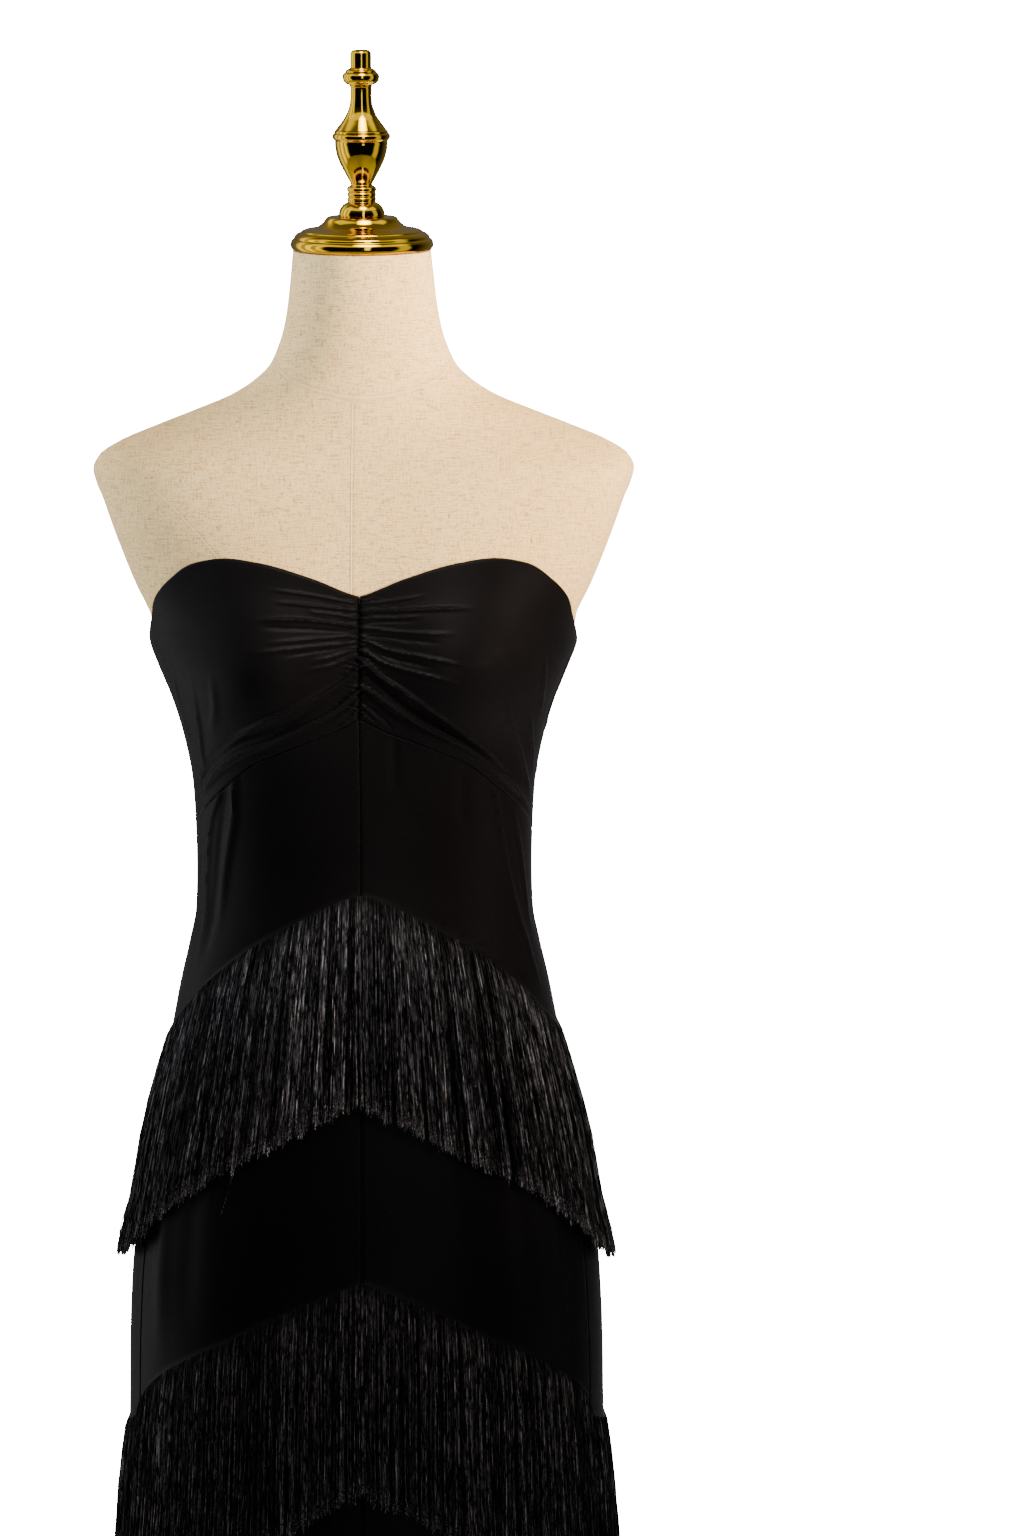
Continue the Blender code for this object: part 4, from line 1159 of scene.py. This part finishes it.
def linen_finish():
    """Cream slub linen with the seams of the form's cover.

    Its yarns run level and upright, by the width on the front and back and by the depth on
    the sides. Their scales are marks a metre, across and up.
    """
    finish = Finish("cream_slub_linen")
    place = finish.object_place()
    x, y, z = finish.split(place)
    facing_x, facing_y, _ = finish.split(finish.node("ShaderNodeTexCoord", output="Normal"))
    on_side = abs(facing_x).math("GREATER_THAN", abs(facing_y) * 1.6)
    cloth = finish.node("ShaderNodeCombineXYZ", {}, (
        x * (1 - on_side) + (y + 3.0) * on_side, z, y.math("SIGN")))
    upright = finish.noise(finish.stretched(cloth, (1300, 90, 1)), 1.0, 2.0, 0.6)
    level = finish.noise(finish.stretched(cloth, (80, 1300, 1)), 1.0, 2.0, 0.6)
    fuzz = finish.noise(place, 620.0, 3.0, 0.6)
    upright_slub = finish.noise(finish.stretched(cloth, (560, 42, 1)), 1.0, 1.0).ease(0.73, 0.85)
    level_slub = finish.noise(finish.stretched(cloth, (26, 620, 1)), 1.0, 1.0).ease(0.70, 0.84)
    speck = finish.noise(finish.stretched(cloth, (300, 160, 1)), 1.0, 0.0).ease(0.80, 0.88)
    broad = finish.noise(place, 7.0, 2.0)
    weave = upright * 0.27 + level * 0.39 + fuzz * 0.34
    slubs = (upright_slub * 0.7 + level_slub + speck * 0.9).math("MINIMUM", 1.0)

    # Each seam is pressed in as a ridge with a groove beside it, and its colour is painted to
    # match: the groove darker, a painted shadow, and the ridge lighter, a painted highlight.
    seam = None
    groove_and_painted_shadow = None
    for normal, distance, low, high, last_y, plainness in FORM_SEAMS:
        apart = abs(finish.dot(place, normal) - distance)
        within = (z - low).ease(0.0, 0.002) * (high - z).ease(0.0, 0.002)
        within = within * (last_y - y).ease(0.0, 0.01) * plainness
        line = (1 - apart.ease(0.0002, 0.0009)) * within
        wide = (1 - apart.ease(0.0, 0.0026)) * within
        seam = line if seam is None else seam.math("MAXIMUM", line)
        groove_and_painted_shadow = wide if groove_and_painted_shadow is None else groove_and_painted_shadow.math("MAXIMUM", wide)

    cream = finish.blend(broad.ease(0.3, 0.7), *LINEN_TONES)
    cream = finish.blend(weave.ease(0.38, 0.54), WEAVE_SHADE, cream)
    cream = finish.blend(slubs * 0.6, cream, SLUB_SHADE)
    cream = finish.blend(groove_and_painted_shadow * 0.50, cream, GROOVE_PAINTED_SHADOW)
    # Painted highlight along the ridge of each seam.
    cream = finish.blend(seam * 0.55, cream, SEAM_PAINTED_HIGHLIGHT)
    finish.set(
        Base_Color=cream, Roughness=0.82 + 0.1 * weave,
        Normal=finish.bump(weave * 1.6 + slubs * 0.5 - groove_and_painted_shadow * 0.9 + seam * 1.6, 0.00042, 0.9),
        Specular_IOR_Level=0.20)
    return finish.material


def gold_finish(name, roughness):
    """Polished gold plate with faint handling marks."""
    finish = Finish(name)
    place = finish.object_place()
    cloudy = finish.noise(place, 30.0, 3.0)
    fine = finish.noise(finish.stretched(place, (240, 240, 900)), 1.0, 2.0)
    finish.set(
        Base_Color=finish.blend(cloudy, *GOLD_TONES),
        Metallic=1.0, Roughness=roughness + 0.05 * cloudy.ease(0.5, 0.8),
        Normal=finish.bump(fine, 0.00002, 0.3))
    return finish.material


# The photo's setting.

PIXEL = 0.000745
PHOTO_WIDTH = 1024
PHOTO_HEIGHT = 1536
FIGURE_PIXEL = 364.2
AIM_HEIGHT = 1.1562
CAMERA_HEIGHT = 1.50
CAMERA_AWAY = 4.5
CAMERA_TURN = math.radians(1.8)
CAMERA_ROLL = -0.0020
SENSOR = 24.0
BACKDROP_STRENGTH = 40.0
FLOOR_RADIUS = 2.2
FLOOR_SIDES = 96
FLOOR_DROP = 0.0005

WARM = (1.0, 0.90, 0.76)
COOL = (0.64, 0.79, 1.0)
WHITE = (1.0, 1.0, 1.0)
ABOVE_NECK = (0.0, 0.0, 1.66)
CHEST = (0.0, 0.0, 1.42)
WAIST = (0.0, 0.0, 1.15)
BEHIND = (0.0, 1.7, 0.0)
# Softboxes. Columns: name, place, what it is aimed at, size, watts, the angle that it lights
# in degrees, colour, and whether it leaves a highlight. What the gold reflects is mostly the
# room's own panels.
LIGHTS = (
    ("right_softbox", (2.6, -1.4, 1.85), ABOVE_NECK, (1.2, 0.9), 25.5, 27, WARM, False),
    ("left_softbox", (-2.3, -1.6, 1.85), ABOVE_NECK, (1.2, 0.8), 8.0, 26, COOL, False),
    ("top_softbox", (0.2, -0.9, 3.0), CHEST, (1.4, 0.9), 2.7, 34, WARM, True),
    ("left_edge", (-2.3, 0.9, 1.5), CHEST, (0.30, 1.6), 4, 60, WHITE, False),
    ("rim_left", (-1.9, 1.0, 1.6), CHEST, (0.8, 2.4), 10, 100, WHITE, False),
    ("rim_right", (2.0, 1.4, 1.6), CHEST, (0.8, 2.4), 8, 100, WHITE, False),
    ("back_fill", (0.6, 2.6, 2.2), WAIST, (1.6, 1.8), 30, 140, WHITE, False),
    ("floor_light", (0.0, 2.4, 2.6), BEHIND, (2.0, 2.0), 40, 90, WHITE, False),
)


def make_camera():
    """The photo's view: the aim is beside the figure, which stands left of the middle."""
    right = Vector((math.cos(CAMERA_TURN), math.sin(CAMERA_TURN), 0.0))
    place = Vector((math.sin(CAMERA_TURN), -math.cos(CAMERA_TURN), 0.0)) * CAMERA_AWAY
    place.z = CAMERA_HEIGHT
    aim = Vector((0.0, 0.0, AIM_HEIGHT)) + right * (PHOTO_WIDTH / 2 - FIGURE_PIXEL) * PIXEL
    distance = math.hypot(CAMERA_AWAY, CAMERA_HEIGHT - AIM_HEIGHT)
    data = bpy.data.cameras.new("photo_camera")
    data.sensor_fit = "VERTICAL"
    data.sensor_height = SENSOR
    data.lens = SENSOR * distance / (PHOTO_HEIGHT * PIXEL)
    camera = bpy.data.objects.new("photo_camera", data)
    facing = (aim - place).to_track_quat("-Z", "Y").to_matrix()
    roll = Matrix.Rotation(CAMERA_ROLL, 3, "Z")
    camera.matrix_world = Matrix.Translation(place) @ (facing @ roll).to_4x4()
    bpy.context.scene.collection.objects.link(camera)
    bpy.context.scene.camera = camera


def add_softbox(name, place, aim, size, power, spread, colour, shines):
    data = bpy.data.lights.new(name, "AREA")
    data.shape = "RECTANGLE"
    data.size, data.size_y = size
    data.energy = power
    data.spread = math.radians(spread)
    data.color = colour
    light = bpy.data.objects.new(name, data)
    light.visible_glossy = shines
    facing = (Vector(aim) - Vector(place)).to_track_quat("-Z", "Y")
    light.matrix_world = Matrix.Translation(place) @ facing.to_matrix().to_4x4()
    bpy.context.scene.collection.objects.link(light)


def make_room():
    """A white studio that is bright behind the figure, by direction.

    Each wall or panel is a patch between soft edges, and only reflections show it.
    """
    world = bpy.data.worlds.new("white_studio")
    bpy.context.scene.world = world
    world.use_nodes = True
    world.node_tree.nodes.clear()
    studio = Nodes(world.node_tree)
    x, y, z = studio.split(studio.node("ShaderNodeTexCoord", output="Generated"))
    behind = y.ease(0.15, 0.95)
    above = z.ease(0.25, 0.95)
    level = 1 - abs(z).ease(0.45, 0.80)
    left_wall = (0 - x).ease(0.05, 0.25) * y.band((-0.50, -0.20), (0.30, 0.85))
    left_wall = left_wall * (0.30 + 0.70 * (y * 15).math("SINE").ease(-0.5, 0.3))
    right_wall = x.ease(0.05, 0.25) * y.band((-0.50, -0.36), (-0.14, 0.02))
    panel = x.band((0.09, 0.12), (0.24, 0.27)) * (0 - y).ease(0.40, 0.50)
    panel = panel * z.band((-0.25, -0.15), (0.72, 0.80))
    ceiling = z.band((0.55, 0.62), (0.80, 0.88)) * (0 - y).ease(-0.20, 0.0)
    reflected = studio.node("ShaderNodeLightPath", output="Is Glossy Ray")
    shining = left_wall * level * 2.1 + right_wall * level * 0.8 + panel * 2.4 + ceiling * 1.1
    glow = 0.004 + behind * 0.04 + above * 0.04
    glow = glow + (shining + behind * 0.12 + above * 0.09) * reflected
    room = studio.node("ShaderNodeBackground", values={"Strength": glow})
    seen = studio.node("ShaderNodeBackground", values={"Strength": BACKDROP_STRENGTH})
    to_camera = studio.node("ShaderNodeLightPath", output="Is Camera Ray")
    both = studio.node("ShaderNodeMixShader", values=(to_camera, room, seen))
    studio.node("ShaderNodeOutputWorld", values={"Surface": both}, output=None)


def make_floor():
    finish = Finish("pale_floor")
    cloudy = finish.noise(finish.object_place(), 3.0)
    finish.set(Base_Color=finish.blend(cloudy, *FLOOR_TONES), Roughness=0.6)
    angle = np.arange(FLOOR_SIDES) * math.tau / FLOOR_SIDES
    edge = np.stack((FLOOR_RADIUS * np.cos(angle), FLOOR_RADIUS * np.sin(angle),
                     np.full(FLOOR_SIDES, -FLOOR_DROP)), axis=-1)
    mesh = bpy.data.meshes.new("studio_floor")
    mesh.from_pydata(edge.tolist(), [], [tuple(range(FLOOR_SIDES))])
    mesh.materials.append(finish.material)
    floor = bpy.data.objects.new("studio_floor", mesh)
    bpy.context.scene.collection.objects.link(floor)


# Columns: level of the fringe, its seam, and the seed of its random draws.
FRINGES = (("upper", upper_chevron, 10), ("lower", lower_chevron, 20))


def main():
    make_camera()
    for light in LIGHTS:
        add_softbox(*light)
    make_room()
    make_floor()
    make_form(linen_finish())
    jersey = jersey_finish()
    for tier in TIERS:
        for part in EDGES:
            make_panel(tier, part, jersey)
    yarn = yarn_finish()
    for level, seam, seed in FRINGES:
        side = float(side_seam(seam(SIDE_TURN))) - FRINGE_MEETING_TURN
        back = side + 2 * FRINGE_MEETING_TURN
        make_fringe(f"{level}_front_fringe", f"fringe_{level}_front", seam, -side, side,
                    THREADS_PER_METRE, yarn, seed + 1, STRAYS[level, "front"])
        make_fringe(f"{level}_back_fringe", f"fringe_{level}_back", seam, back,
                    FULL_TURN - back, BACK_THREADS_PER_METRE, yarn, seed + 2,
                    STRAYS[level, "back"])
    make_fittings(gold_finish("polished_gold", 0.07), gold_finish("stand_gold", 0.16))


main()
